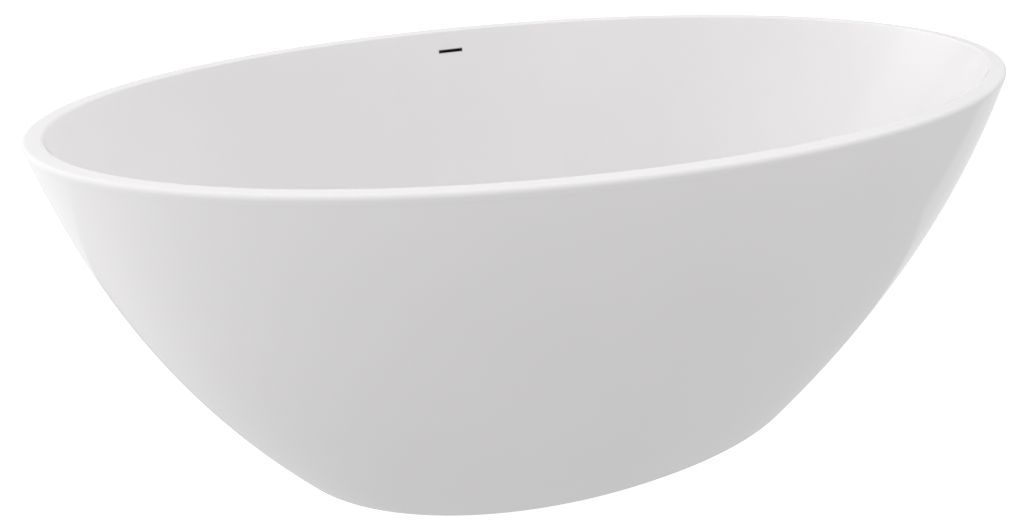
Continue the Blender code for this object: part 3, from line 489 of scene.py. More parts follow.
def inner_edge_rings():
    """The rim's inner edge, rounded from the basin's leaning wall onto the level top."""

    def ring_at(drop, outward):
        sizes = basin_half_sizes(basin_up(TUB_HEIGHT - drop))
        return outline_ring(inset_sizes(sizes, -outward), TUB_HEIGHT - drop)

    return quarter_round(INNER_EDGE_RADIUS, ring_at)


def recess_rings(floor, radius):
    """The dished recess round the waste hole, from the hole out to a floor's level."""
    bottom = floor - WASTE_RECESS_DEPTH
    rings = [outline_ring(circle_sizes(WASTE_HOLE_RADIUS), bottom)]
    for i in range(ARC_STEPS + 1):
        share = i / ARC_STEPS
        lift = WASTE_RECESS_DEPTH * share * share * (3 - 2 * share)
        rings.append(outline_ring(circle_sizes(radius + WASTE_RECESS_DEPTH * share), bottom + lift))
    return rings


def basin_wet_rings():
    """The side that shows: recess, floor, wall, the rim's top and the lip round it."""
    rings = recess_rings(BASIN_FLOOR, WASTE_RECESS_RADIUS)
    floor_edge = outline_ring(basin_half_sizes(0), BASIN_FLOOR)
    rings += blend_rings(rings[-1], floor_edge, FLOOR_STEPS) + [floor_edge]
    last_up = basin_up(TUB_HEIGHT - INNER_EDGE_RADIUS)
    for i in range(1, WALL_RINGS):
        up = last_up * (i / WALL_RINGS) ** 2
        rings.append(outline_ring(basin_half_sizes(up), basin_height(up)))
    rings += inner_edge_rings()
    outer_edge = rim_edge_rings()
    rings += blend_rings(rings[-1], outer_edge[0], RIM_STEPS) + outer_edge
    for share in LIP_SHARES:
        height = TUB_HEIGHT - OUTER_EDGE_RADIUS - (LIP_HEIGHT - OUTER_EDGE_RADIUS - SEAM) * share
        rings.append(outline_ring(skirt_half_sizes(height), height))
    return rings


def basin_channel_rings():
    """Under the rim: the lip's lower edge and inner face, and the underside behind it."""
    lip_bottom = TUB_HEIGHT - LIP_HEIGHT - SEAM
    underside = TUB_HEIGHT - INNER_WALL
    lip_inside = inset_sizes(skirt_half_sizes(lip_bottom), OUTER_WALL)
    wall_outside = inset_sizes(basin_half_sizes(basin_up(underside)), -INNER_WALL)
    return [
        outline_ring(lip_inside, lip_bottom),
        outline_ring(lip_inside, underside),
        outline_ring(wall_outside, underside),
    ]


def basin_dry_rings():
    """The side that faces the skirt: down the wall, in under the floor and round the recess."""
    top_up = basin_up(TUB_HEIGHT - 2 * INNER_WALL)
    ups = [top_up * (i / WALL_RINGS) ** 2 for i in range(1, WALL_RINGS + 1)]
    rings = [[basin_back_point(angle, up) for angle in shell_angles()] for up in reversed(ups)]
    under = BASIN_FLOOR - INNER_WALL
    rings.append(outline_ring(basin_half_sizes(0), under))
    below = recess_rings(under, WASTE_RECESS_RADIUS + INNER_WALL)
    return rings + blend_rings(rings[-1], below[-1], FLOOR_STEPS) + below[::-1]


def slot_height():
    return TUB_HEIGHT - SLOT_DEPTH


def cut_slot(basin):
    """Cuts the overflow slot through the back wall."""
    centre = (0, basin_half_width(slot_height()), slot_height())
    size = (SLOT_LENGTH, 2 * RIM_WIDTH, SLOT_HEIGHT)
    combine(basin, box_piece("slot_cutter", centre, size), "DIFFERENCE")


def build_basin(looks):
    """The basin and its rim, in one skin."""
    wet = basin_wet_rings()
    rings = wet + basin_channel_rings() + basin_dry_rings()
    basin = ringed_piece("basin_and_rim", rings, dry_from=len(wet))
    cut_slot(basin)
    dress(basin, "tub", "acrylic", ["inner_shell"], looks["acrylic"], looks["backing"])


def build_skirt(looks):
    """The skirt, from its rounded foot up to the rim's lip, and back down inside."""
    foot_top = SKIRT_BOTTOM + FOOT_EDGE_RADIUS
    span = TUB_HEIGHT - LIP_HEIGHT - 2 * SEAM - foot_top

    def foot_ring(inset, rise):
        height = SKIRT_BOTTOM + rise
        return outline_ring(inset_sizes(skirt_half_sizes(height), inset), height)

    heights = [foot_top + span * i / SKIRT_RINGS for i in range(1, SKIRT_RINGS + 1)]
    inner_heights = heights[::-SKIRT_INNER_STRIDE] + [SKIRT_BOTTOM]
    outside = quarter_round(FOOT_EDGE_RADIUS, foot_ring)
    outside += [outline_ring(skirt_half_sizes(height), height) for height in heights]
    inside = [outline_ring(skirt_inner_half_sizes(height), height) for height in inner_heights]
    skirt = ringed_piece("skirt", outside + inside, dry_from=len(outside))
    dress(skirt, "tub", "acrylic", ["outer_shell"], looks["acrylic"], looks["backing"])


# ---------------------------------------------------------------- turned and threaded pieces


def circle(radius, height, sides=ROUND_SIDES):
    angles = [math.tau * i / sides for i in range(sides)]
    return [Vector((radius * math.cos(a), radius * math.sin(a), height)) for a in angles]


def turned_ring(name, profile):
    """A body turned from a closed profile of (radius, height) that stays off the axis."""
    return ringed_piece(name, [circle(radius, height) for radius, height in profile])


def turned_solid(name, profile, sides=ROUND_SIDES):
    """A body turned from an open profile whose two ends are capped flat."""
    return capped_piece(name, [circle(radius, height, sides) for radius, height in profile])


def thread(radius, depth, low, high, pitch):
    """The profile of a threaded length, from its lower end up."""
    turns = round((high - low) / pitch)
    step = (high - low) / turns
    points = []
    for turn in range(turns):
        bottom = low + turn * step
        for share, on_crest in THREAD_TURN:
            points.append((radius if on_crest else radius - depth, bottom + step * share))
    return points


def arc(centre, radius, start, end):
    """Points of (radius, height) round an arc between two angles in degrees."""
    points = []
    for i in range(ARC_STEPS + 1):
        angle = math.radians(start + (end - start) * i / ARC_STEPS)
        points.append((centre[0] + radius * math.cos(angle), centre[1] + radius * math.sin(angle)))
    return points


def hexagon(flats, height):
    """A ring round a hexagon, with as many points as a circle of a nut's bore."""
    points = []
    for i in range(SMALL_SIDES):
        angle = math.tau * i / SMALL_SIDES
        from_flat = (angle + math.pi / 6) % (math.pi / 3) - math.pi / 6
        radius = flats / 2 / math.cos(from_flat)
        points.append(Vector((radius * math.cos(angle), radius * math.sin(angle), height)))
    return points


def nut(name, flats, bore, low, high, chamfer):
    """A hexagonal nut with chamfered corners and a chamfered bore."""
    rings = [
        circle(flats / 2, low, SMALL_SIDES),
        hexagon(flats, low + chamfer),
        hexagon(flats, high - chamfer),
        circle(flats / 2, high, SMALL_SIDES),
        circle(bore + chamfer, high, SMALL_SIDES),
        circle(bore, high - chamfer, SMALL_SIDES),
        circle(bore, low + chamfer, SMALL_SIDES),
        circle(bore + chamfer, low, SMALL_SIDES),
    ]
    return ringed_piece(name, rings)


def middle_of(node):
    low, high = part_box(node)
    return (low[0] + high[0]) / 2, (low[1] + high[1]) / 2


def size_of(node):
    """A round node's radius, and its lowest and highest point."""
    low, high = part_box(node)
    return (high[0] - low[0]) / 2, low[2], high[2]


# ---------------------------------------------------------------- feet and screws


def pad_profile(radius, height):
    """The moulded pad: a rounded tread, a sloping top and a socket for the stud."""
    edge = radius * PAD_EDGE
    neck = radius * PAD_SLOPE[-1][0]
    socket_floor = height / 3
    profile = arc((radius - edge, edge), edge, -90, 0)
    profile += arc((radius - edge, height * PAD_TREAD), edge, 0, 60)
    profile += [(radius * across, height * up) for across, up in PAD_SLOPE]
    profile += arc((neck - edge / 2, height - edge / 2), edge / 2, 0, 90)
    return profile + [(STUD_BORE, height), (STUD_BORE, socket_floor)]


def stud_profile(low, high, collar):
    """A threaded rod, with a collar just above the pad."""
    collar_top = collar + COLLAR_HEIGHT
    profile = [
        (STUD_RADIUS - STUD_CHAMFER, low),
        (STUD_RADIUS, low + STUD_CHAMFER),
        (STUD_RADIUS, collar),
        (COLLAR_RADIUS - COLLAR_CHAMFER, collar),
        (COLLAR_RADIUS, collar + COLLAR_CHAMFER),
        (COLLAR_RADIUS, collar_top - COLLAR_CHAMFER),
        (COLLAR_RADIUS - COLLAR_CHAMFER, collar_top),
    ]
    profile += thread(STUD_RADIUS, STUD_THREAD_DEPTH, collar_top, high - STUD_CHAMFER, STUD_PITCH)
    return profile + [(STUD_RADIUS - STUD_CHAMFER, high)]


def build_foot_nuts(number, looks):
    """The frame nut and the locknut of one foot."""
    for kind in ("frame_nut", "locknut"):
        node = f"foot_{kind}_{number}"
        half_flats, low, high = size_of(node)
        pattern = nut("nut_pattern", 2 * half_flats, STUD_BORE, low, high, NUT_CHAMFER)
        made = moved_copy(f"{kind}_{number}", pattern, *middle_of(f"foot_pad_{number}"))
        dress(made, "tub", "zinc_fasteners", [node], looks["zinc_fasteners"])
        discard(pattern)


def build_feet(looks):
    """Pads, threaded studs and nuts, one set at each corner of the frame."""
    radius, floor, pad_top = size_of("foot_pad_1")
    _, stud_low, stud_high = size_of("foot_stud_1")
    pad_height = pad_top - floor
    pad = turned_solid("pad_pattern", pad_profile(radius, pad_height), PAD_SIDES)
    stud = turned_solid(
        "stud_pattern", stud_profile(stud_low, stud_high, pad_height + 2 * FIT), STUD_SIDES
    )
    for number in FEET:
        body = f"foot_{number}"
        place = middle_of(f"foot_pad_{number}")
        tread = moved_copy(f"pad_{number}", pad, *place)
        dress(tread, body, "foot_plastic", [f"foot_pad_{number}"], looks["foot_plastic"])
        rod = moved_copy(f"stud_{number}", stud, *place)
        dress(rod, body, "zinc_fasteners", [f"foot_stud_{number}"], looks["zinc_fasteners"])
        build_foot_nuts(number, looks)
    discard(pad)
    discard(stud)


def screw_profile(head, depth, bottom, top):
    """A pan head that faces down, and a coarse thread above it."""
    shaft = head * SCREW_SHAFT
    thread_depth = shaft * SCREW_THREAD_DEPTH
    thread_low = bottom + depth * SCREW_THREAD_START
    profile = []
    for share in SCREW_CROWN:
        crown = SCREW_CROWN_HEIGHT * (1 - math.sqrt(1 - share**3))
        profile.append((head * share, bottom + depth * crown))
    profile += [(head, bottom + depth * SCREW_EDGE_HEIGHT), (head, bottom + depth)]
    profile += [(shaft, bottom + depth)]
    profile += thread(shaft, thread_depth, thread_low, top - shaft, SCREW_PITCH)
    return profile + [(thread_depth, top)]


def build_board_screws(looks):
    """Pan-head screws with a cross recess and a coarse thread."""
    head, bottom, top = size_of("board_screw_1")
    depth = head * SCREW_DEPTH
    long_side = head * RECESS_LENGTH
    short_side = head * RECESS_WIDTH
    screw = turned_solid("screw_pattern", screw_profile(head, depth, bottom, top), SCREW_SIDES)
    for size in ((long_side, short_side, depth), (short_side, long_side, depth)):
        combine(screw, box_piece("recess", (0, 0, bottom), size), "DIFFERENCE")
    for number in BOARD_SCREWS:
        node = f"board_screw_{number}"
        made = moved_copy(f"screw_{number}", screw, *middle_of(node))
        dress(made, "tub", "zinc_fasteners", [node], looks["zinc_fasteners"])
    discard(screw)


# ---------------------------------------------------------------- waste


def flange_profile(radius, outlet, top):
    """The flange's rolled edge, and the threaded tube below it."""
    roll = (TUBE_BORE + FLANGE_LIP + FLANGE_ROLL, top - FLANGE_ROLL)
    bevel = (radius - FLANGE_BEVEL, top - FLANGE_BEVEL)
    underside = top - FLANGE_THICKNESS
    profile = arc(roll, FLANGE_ROLL, 180, 90)
    profile += arc(bevel, FLANGE_BEVEL, 90, 0)
    profile += [(radius, underside), (TUBE_RADIUS, underside)]
    profile += [(TUBE_RADIUS, TUBE_THREAD_TOP + TUBE_CHAMFER)]
    upward = thread(TUBE_RADIUS, TUBE_THREAD_DEPTH, outlet + TUBE_CHAMFER, TUBE_THREAD_TOP, TUBE_PITCH)
    profile += upward[::-1]
    return profile + [(TUBE_RADIUS - TUBE_END_BEVEL, outlet), (TUBE_BORE, outlet)]


def add_hub(flange):
    """The hub on crossed ribs that guides the plug's stem."""
    low = HUB_TOP - HUB_HEIGHT
    middle = (0, 0, (low + HUB_TOP) / 2)
    rib_size = (TUBE_BORE + TUBE_RADIUS, RIB_WIDTH, HUB_HEIGHT - 2 * RIB_INSET)
    profile = [(HUB_RADIUS - HUB_EDGE, low), (HUB_RADIUS, low + HUB_EDGE)]
    profile += [(HUB_RADIUS, HUB_TOP - HUB_EDGE), (HUB_RADIUS - HUB_EDGE, HUB_TOP)]
    combine(flange, turned_solid("hub", profile, SMALL_SIDES), "UNION")
    for turn in (math.pi / 4, -math.pi / 4):
        rib = box_piece("rib", middle, rib_size)
        rib.data.transform(Matrix.Rotation(turn, 4, "Z"))
        combine(flange, rib, "UNION")
    hole = [(STEM_BORE, low - HUB_EDGE), (STEM_BORE, HUB_TOP + HUB_EDGE)]
    combine(flange, turned_solid("stem_hole", hole, SMALL_SIDES), "DIFFERENCE")


def cut_windows(flange):
    """Four windows in the tube, which let the overflow's water in from the banjo."""
    reach = WINDOW_FAR - WINDOW_NEAR
    middle = (WINDOW_FAR + WINDOW_NEAR) / 2
    for x, y in ((-1, 0), (0, -1), (1, 0), (0, 1)):
        size = (reach if x else WINDOW_WIDTH, reach if y else WINDOW_WIDTH, WINDOW_HEIGHT)
        window = box_piece("window", (x * middle, y * middle, BANJO_MIDDLE), size)
        combine(flange, window, "DIFFERENCE")


def build_waste(looks):
    flange = turned_ring("drain_flange", flange_profile(*size_of("waste_flange")))
    add_hub(flange)
    cut_windows(flange)
    dress(flange, "tub", "chrome", ["waste_flange"], looks["chrome"])


def soft_ring(name, node, bore, body, look):
    """A washer or seal with rounded outer edges, in the place of its CAD node."""
    radius, low, high = size_of(node)
    edge = (high - low) * SEAL_EDGE_SHARE
    profile = arc((radius - edge, low + edge), edge, -90, 0)
    profile += arc((radius - edge, high - edge), edge, 0, 90)
    profile += [(bore, high), (bore, low)]
    dress(turned_ring(name, profile), body, "black_rubber", [node], look)


def build_seals(looks):
    look = looks["black_rubber"]
    soft_ring("drain_gasket", "waste_gasket", BANJO_BORE, "tub", look)
    soft_ring("banjo_washer_upper", "waste_washer_upper", BANJO_BORE, "tub", look)
    soft_ring("banjo_washer_lower", "waste_washer_lower", BANJO_BORE, "tub", look)
    soft_ring("plug_ring", "plug_seal", BOSS_RADIUS + FIT, "plug", look)


def banjo_profile(bottom, top):
    """The collar's section, hollow inside for the overflow's water."""
    return [
        (BANJO_RADIUS - BANJO_CHAMFER, bottom),
        (BANJO_RADIUS, bottom + BANJO_CHAMFER),
        (BANJO_RADIUS, top - BANJO_CHAMFER),
        (BANJO_RADIUS - BANJO_CHAMFER, top),
        (BANJO_BORE, top),
        (BANJO_BORE, top - BANJO_WALL),
        (BANJO_CHAMBER, top - BANJO_WALL),
        (BANJO_CHAMBER, bottom + BANJO_WALL),
        (BANJO_BORE, bottom + BANJO_WALL),
        (BANJO_BORE, bottom),
    ]


def spigot_profile(start, end):
    """A plain root and then barbs, which the hose is pushed over."""
    profile = [(SPIGOT_RADIUS, start)]
    for barb in range(SPIGOT_BARBS):
        foot = end - BARB_PITCH * (SPIGOT_BARBS - barb)
        profile += [(SPIGOT_RADIUS, foot), (SPIGOT_RADIUS + BARB_HEIGHT, foot + FIT)]
        profile += [(SPIGOT_RADIUS, foot + BARB_PITCH * BARB_SLOPE_SHARE)]
    return profile + [(SPIGOT_RADIUS - BARB_HEIGHT, end)]


def build_banjo(looks):
    """The moulded collar round the waste tube, with a barbed spigot for the hose."""
    low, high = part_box("overflow_banjo")
    bottom, top = low[2], high[2]
    end = high[1]
    collar = turned_ring("banjo_collar", banjo_profile(bottom, top))
    shape = spigot_profile((BANJO_CHAMBER + BANJO_RADIUS) / 2, end)
    spigot = turned_solid("spigot", shape, SMALL_SIDES)
    bore = turned_solid("spigot_bore", [(SPIGOT_BORE, BANJO_BORE), (SPIGOT_BORE, end + FIT)], SMALL_SIDES)
    lying = Matrix.Translation((0, 0, (bottom + top) / 2)) @ Matrix.Rotation(-math.pi / 2, 4, "X")
    spigot.data.transform(lying)
    bore.data.transform(lying)
    combine(collar, spigot, "UNION")
    combine(collar, bore, "DIFFERENCE")
    dress(collar, "tub", "dark_plastic", ["overflow_banjo"], looks["dark_plastic"])


def build_backnut(looks):
    half_flats, low, high = size_of("waste_backnut")
    made = nut("backnut", 2 * half_flats, BANJO_BORE + FIT, low, high, BACKNUT_CHAMFER)
    dress(made, "tub", "dark_plastic", ["waste_backnut"], looks["dark_plastic"])


# ---------------------------------------------------------------- plug


def build_plug(looks):
    """The plug's domed cap, with a rolled edge, over the boss that holds its stem."""
    radius, boss_bottom, top = size_of("plug_cap")
    under = boss_bottom + BOSS_HEIGHT
    rim_top = under + CAP_RIM_HEIGHT
    crown_radius = radius - 2 * CAP_EDGE
    profile = [
        (STEM_BORE, under - SOCKET_ROOF),
        (STEM_BORE, boss_bottom),
        (BOSS_RADIUS - BOSS_EDGE, boss_bottom),
        (BOSS_RADIUS, boss_bottom + BOSS_EDGE),
        (BOSS_RADIUS, under),
        (radius - CAP_EDGE, under),
    ]
    profile += arc((radius - CAP_EDGE, under + CAP_EDGE), CAP_EDGE, -90, 80)
    for i in range(CROWN_STEPS):
        share = 1 - i / CROWN_STEPS
        profile.append((crown_radius * share, rim_top + (top - rim_top) * (1 - share * share)))
    cap = turned_solid("plug_disc", profile)
    dress(cap, "plug", "chrome", ["plug_cap"], looks["chrome"])


def build_stem(looks):
    """The plug's stem, with the collar that its spring pushes on."""
    radius, low, high = size_of("plug_stem")
    profile = [
        (radius - MOULDED_EDGE, low),
        (radius, low + MOULDED_EDGE),
        (radius, STEM_COLLAR_TOP - MOULDED_EDGE),
        (radius - MOULDED_EDGE, STEM_COLLAR_TOP),
        (STEM_RADIUS, STEM_COLLAR_TOP),
        (STEM_RADIUS, high - MOULDED_EDGE),
        (STEM_RADIUS - MOULDED_EDGE, high),
    ]
    stem = turned_solid("stem", profile, SMALL_SIDES)
    dress(stem, "plug", "zinc_fasteners", ["plug_stem"], looks["zinc_fasteners"])


def build_cartridge(looks):
    """The housing that the stem slides in, with three grip grooves round it."""
    radius, bottom, top = size_of("plug_cartridge")
    edge = MOULDED_EDGE
    profile = [(radius * CARTRIDGE_END_SHARE, bottom), (radius - edge, bottom + edge)]
    profile += [(radius, bottom + 3 * edge)]
    for groove in CARTRIDGE_GROOVES:
        height = bottom + (top - bottom) * groove
        profile += [(radius, height - 2 * edge), (radius - edge, height - edge)]
        profile += [(radius - edge, height + edge), (radius, height + 2 * edge)]
    profile += [(radius, top - edge), (radius - edge, top)]
    profile += [(CARTRIDGE_BORE, top), (CARTRIDGE_BORE, bottom + CARTRIDGE_FLOOR)]
    cartridge = turned_solid("click_cartridge", profile, SMALL_SIDES)
    dress(cartridge, "tub", "dark_plastic", ["plug_cartridge"], looks["dark_plastic"])


def swept_rings(centres, radii, sides):
    """Rings square to a path, each turned as little as it can be from the one before."""
    rings = []
    across = None
    last = len(centres) - 1
    for i, (centre, radius) in enumerate(zip(centres, radii)):
        along = (centres[min(i + 1, last)] - centres[max(i - 1, 0)]).normalized()
        if across is None:
            across = along.orthogonal()
        across = (across - along * across.dot(along)).normalized()
        other = along.cross(across)
        angles = [math.tau * j / sides for j in range(sides)]
        rings.append([centre + radius * (across * math.cos(a) + other * math.sin(a)) for a in angles])
    return rings


def build_spring(looks):
    """The plug's spring, which stretches between its seat and the stem's collar."""
    _, low, high = size_of("plug_spring")
    bottom = low + SPRING_WIRE
    top = high - SPRING_WIRE
    steps = SPRING_TURNS * SPRING_STEPS
    centres = []
    for i in range(steps + 1):
        angle = math.tau * i * SPRING_TURNS / steps
        height = bottom + (top - bottom) * i / steps
        centres.append(Vector((SPRING_COIL * math.cos(angle), SPRING_COIL * math.sin(angle), height)))
    rings = swept_rings(centres, [SPRING_WIRE] * len(centres), SPRING_SIDES)
    spring = capped_piece("spring_coil", rings)
    spring.data.materials.append(looks["zinc_fasteners"])
    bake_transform(spring)
    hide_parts("plug_spring")


# ---------------------------------------------------------------- overflow


def rounded_slot_ring(length, height, corner, y, lean):
    """A ring round a rectangle with rounded corners, its plane leaning with the wall."""
    points = []
    for quarter in range(4):
        centre_x = (length / 2 - corner) * (1 if quarter in (0, 3) else -1)
        centre_z = (height / 2 - corner) * (1 if quarter in (0, 1) else -1)
        for step in range(CORNER_STEPS + 1):
            angle = math.pi / 2 * (quarter + step / CORNER_STEPS)
            x = centre_x + corner * math.cos(angle)
            rise = centre_z + corner * math.sin(angle)
            points.append(Vector((x, y + lean * rise, slot_height() + rise)))
    return points


def build_slot_liner(looks):
    """The thin metal liner of the overflow slot, its front edge rounded over."""
    low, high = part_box("overflow_trim")
    length = high[0] - low[0]
    height = SLOT_HEIGHT - 2 * FIT
    back = high[1]
    front = basin_half_width(slot_height()) - 2 * FIT
    upper = basin_half_width(slot_height() + SLOPE_STEP)
    lower = basin_half_width(slot_height() - SLOPE_STEP)
    lean = (upper - lower) / (2 * SLOPE_STEP)

    def ring_at(walls_in, corner_share, y, slope):
        inset = LINER_WALL * walls_in
        return rounded_slot_ring(length - inset, height - inset, LINER_CORNER * corner_share, y, slope)

    outside = LINER_FRONT[0]
    inside = LINER_FRONT[-1]
    rings = [ring_at(outside[0], outside[2], back, 0)]
    for walls_in, behind, corner_share in LINER_FRONT:
        rings.append(ring_at(walls_in, corner_share, front + LINER_WALL * behind, lean))
    rings.append(ring_at(inside[0], inside[2], back, 0))
    liner = ringed_piece("slot_liner", rings)
    dress(liner, "tub", "chrome", ["overflow_trim"], looks["chrome"])


def smooth_path(points, steps):
    """A Catmull-Rom curve through the points, with as many steps between each two."""
    path = []
    for i in range(len(points) - 1):
        before = points[max(i - 1, 0)]
        start = points[i]
        end = points[i + 1]
        after = points[min(i + 2, len(points) - 1)]
        for step in range(steps):
            t = step / steps
            slope = (end - before) * t
            bend = (2 * before - 5 * start + 4 * end - after) * t**2
            twist = (3 * start - before - 3 * end + after) * t**3
            path.append(0.5 * (2 * start + slope + bend + twist))
    return path + [points[-1]]


def evenly_spaced(path, spacing):
    """Points at one spacing along a path, each with its distance along, and the path's length."""
    total = sum((b - a).length for a, b in zip(path, path[1:]))
    count = round(total / spacing)
    points = []
    index = 0
    passed = 0.0
    for i in range(count + 1):
        wanted = total * i / count
        length = (path[index + 1] - path[index]).length
        while passed + length < wanted and index < len(path) - 2:
            passed += length
            index += 1
            length = (path[index + 1] - path[index]).length
        share = min((wanted - passed) / length, 1.0)
        points.append((path[index].lerp(path[index + 1], share), wanted))
    return points, total


def middle_of_gap(height):
    """A point halfway between the basin's wall and the skirt, behind the slot."""
    wall = basin_back_point(math.pi / 2, basin_up(height)).y
    skirt = skirt_inner_half_sizes(height)[1]
    return Vector((0, (wall + skirt) / 2, height))


def hose_path():
    """The CAD hose's route: down between the two skins, then under the basin to the waste."""
    spigot_root = Matrix.Translation((0, DOWN_SPIGOT_Y, slot_height() - DOWN_SPIGOT_DROP))
    down_spigot = spigot_root @ Matrix.Rotation(math.pi - DOWN_SPIGOT_TILT, 4, "X")
    grip = DOWN_SPIGOT_LENGTH - HOSE_START
    end_y = BANJO_RADIUS + HOSE_START
    points = [down_spigot @ Vector((0, 0, z)) for z in (HOSE_START, DOWN_SPIGOT_LENGTH)]
    points += [middle_of_gap(height) for height in HOSE_GAP_HEIGHTS]
    points += [Vector((0, y, height)) for y, height in HOSE_TURN]
    points += [Vector((0, end_y + grip, BANJO_MIDDLE)), Vector((0, end_y, BANJO_MIDDLE))]
    return smooth_path(points, HOSE_PATH_STEPS)


def build_hose(looks):
    """The overflow hose: corrugated, with a plain cuff at each end."""
    points, total = evenly_spaced(hose_path(), HOSE_RIB_PITCH / HOSE_RINGS_PER_RIB)
    centres = [point for point, _ in points]
    outer = []
    for _, along in points:
        from_end = min(along, total - along)
        wave = 0.5 - 0.5 * math.cos(math.tau * (from_end - HOSE_CUFF) / HOSE_RIB_PITCH)
        outer.append(HOSE_RADIUS - (HOSE_RIB_DEPTH * wave if from_end > HOSE_CUFF else 0))
    outside = swept_rings(centres, outer, HOSE_SIDES)
    inside = swept_rings(centres, [HOSE_BORE] * len(centres), HOSE_SIDES)
    hose = ringed_piece("corrugated_hose", outside + inside[::-1], smooth_angle=HOSE_SMOOTH_ANGLE)
    dress(hose, "tub", "grey_hose", ["overflow_hose"], looks["grey_hose"])


# ---------------------------------------------------------------- materials


def base_material(name, metallic=0.0):
    look = bpy.data.materials.new(name)
    look.use_nodes = True
    tree = look.node_tree
    shader = tree.nodes["Principled BSDF"]
    shader.inputs["Metallic"].default_value = metallic
    coordinates = tree.nodes.new("ShaderNodeTexCoord")
    return look, tree, shader, coordinates.outputs["Object"]


def noise(tree, coordinates, scale, detail=3.0):
    made = tree.nodes.new("ShaderNodeTexNoise")
    made.inputs["Scale"].default_value = scale
    made.inputs["Detail"].default_value = detail
    made.inputs["Roughness"].default_value = 0.5
    tree.links.new(coordinates, made.inputs["Vector"])
    return made.outputs["Fac"]


def cells(tree, coordinates, scale):
    made = tree.nodes.new("ShaderNodeTexVoronoi")
    made.inputs["Scale"].default_value = scale
    tree.links.new(coordinates, made.inputs["Vector"])
    return made


def cell_values(tree, coordinates, scale):
    """A random value for each cell, and the distance from its middle."""
    made = cells(tree, coordinates, scale)
    grey = tree.nodes.new("ShaderNodeRGBToBW")
    tree.links.new(made.outputs["Color"], grey.inputs["Color"])
    return grey.outputs["Val"], made.outputs["Distance"]


def colour_ramp(tree, factor, *stops):
    made = tree.nodes.new("ShaderNodeValToRGB")
    while len(made.color_ramp.elements) < len(stops):
        made.color_ramp.elements.new(0.5)
    for element, (position, colour) in zip(made.color_ramp.elements, stops):
        element.position = position
        element.color = (*colour, 1.0)
    tree.links.new(factor, made.inputs["Fac"])
    return made.outputs["Color"]


def spread(tree, factor, low, high):
    """Maps a 0 to 1 factor onto a range."""
    made = tree.nodes.new("ShaderNodeMapRange")
    made.inputs["To Min"].default_value = low
    made.inputs["To Max"].default_value = high
    tree.links.new(factor, made.inputs["Value"])
    return made.outputs["Result"]


def bump(tree, shader, factor, distance):
    made = tree.nodes.new("ShaderNodeBump")
    made.inputs["Distance"].default_value = distance
    made.inputs["Strength"].default_value = 1.0
    tree.links.new(factor, made.inputs["Height"])
    tree.links.new(made.outputs["Normal"], shader.inputs["Normal"])


def acrylic_material():
    """Glossy white, with a faint drift of tone and gloss and a very faint waviness."""
    look, tree, shader, place = base_material("gloss_white_acrylic")
    tone = colour_ramp(
        tree,
        noise(tree, place, 3.0),
        (0.3, (0.774, 0.760, 0.767)),
        (0.7, (0.794, 0.780, 0.787)),
    )
    tree.links.new(tone, shader.inputs["Base Color"])
    tree.links.new(spread(tree, noise(tree, place, 40.0), 0.07, 0.11), shader.inputs["Roughness"])
    bump(tree, shader, noise(tree, place, 9.0, detail=1.0), 0.0004)
    return look


def backing_material():
    """The glass fibre that stiffens the dry side of both skins."""
    look, tree, shader, place = base_material("glass_fibre_backing")
    strands = cells(tree, place, 160.0)
    tone = colour_ramp(
        tree,
        strands.outputs["Distance"],
        (0.0, (0.62, 0.60, 0.52)),
        (0.6, (0.74, 0.72, 0.65)),
    )
    tree.links.new(tone, shader.inputs["Base Color"])
    tree.links.new(spread(tree, noise(tree, place, 30.0), 0.35, 0.7), shader.inputs["Roughness"])
    bump(tree, shader, noise(tree, place, 120.0, detail=6.0), 0.0012)
    return look


def galvanised_material():
    """Zinc-coated tube, with the spangle of its crystals."""
    look, tree, shader, place = base_material("galvanised_tube", 0.85)
    crystals, _ = cell_values(tree, place, 150.0)
    tone = colour_ramp(tree, crystals, (0.2, (0.50, 0.52, 0.54)), (0.8, (0.62, 0.64, 0.65)))
    tree.links.new(tone, shader.inputs["Base Color"])
    tree.links.new(spread(tree, crystals, 0.3, 0.5), shader.inputs["Roughness"])
    bump(tree, shader, noise(tree, place, 400.0), 0.0001)
    return look


def chipboard_material():
    """Pressed wood chips, each of its own tone."""
    look, tree, shader, place = base_material("particle_board")
    chips, from_middle = cell_values(tree, place, 480.0)
    tone = colour_ramp(
        tree,
        chips,
        (0.1, (0.40, 0.27, 0.15)),
        (0.5, (0.54, 0.39, 0.24)),
        (0.9, (0.66, 0.51, 0.34)),
    )
    tree.links.new(tone, shader.inputs["Base Color"])
    tree.links.new(spread(tree, noise(tree, place, 50.0), 0.65, 0.9), shader.inputs["Roughness"])
    bump(tree, shader, from_middle, 0.0003)
    return look


def speckled(name, dark, light, scale, gloss, grain, metallic=0.0):
    """A material whose tone and roughness drift with noise, over a grain of (scale, depth)."""
    look, tree, shader, place = base_material(name, metallic)
    tone = colour_ramp(tree, noise(tree, place, scale, detail=5.0), (0.3, dark), (0.7, light))
    tree.links.new(tone, shader.inputs["Base Color"])
    tree.links.new(spread(tree, noise(tree, place, scale * 2), *gloss), shader.inputs["Roughness"])
    bump(tree, shader, noise(tree, place, grain[0], detail=4.0), grain[1])
    return look


def resin_material():
    dark = (0.60, 0.58, 0.50)
    light = (0.76, 0.74, 0.67)
    return speckled("bonding_resin", dark, light, 60, (0.4, 0.65), (180, 0.0008))


def zinc_material():
    dark = (0.60, 0.62, 0.63)
    light = (0.74, 0.74, 0.72)
    return speckled("bright_zinc", dark, light, 80, (0.22, 0.4), (900, 0.00005), metallic=1.0)


def rubber_material():
    dark = (0.018, 0.018, 0.018)
    light = (0.035, 0.035, 0.035)
    return speckled("black_rubber", dark, light, 90, (0.6, 0.85), (700, 0.0001))


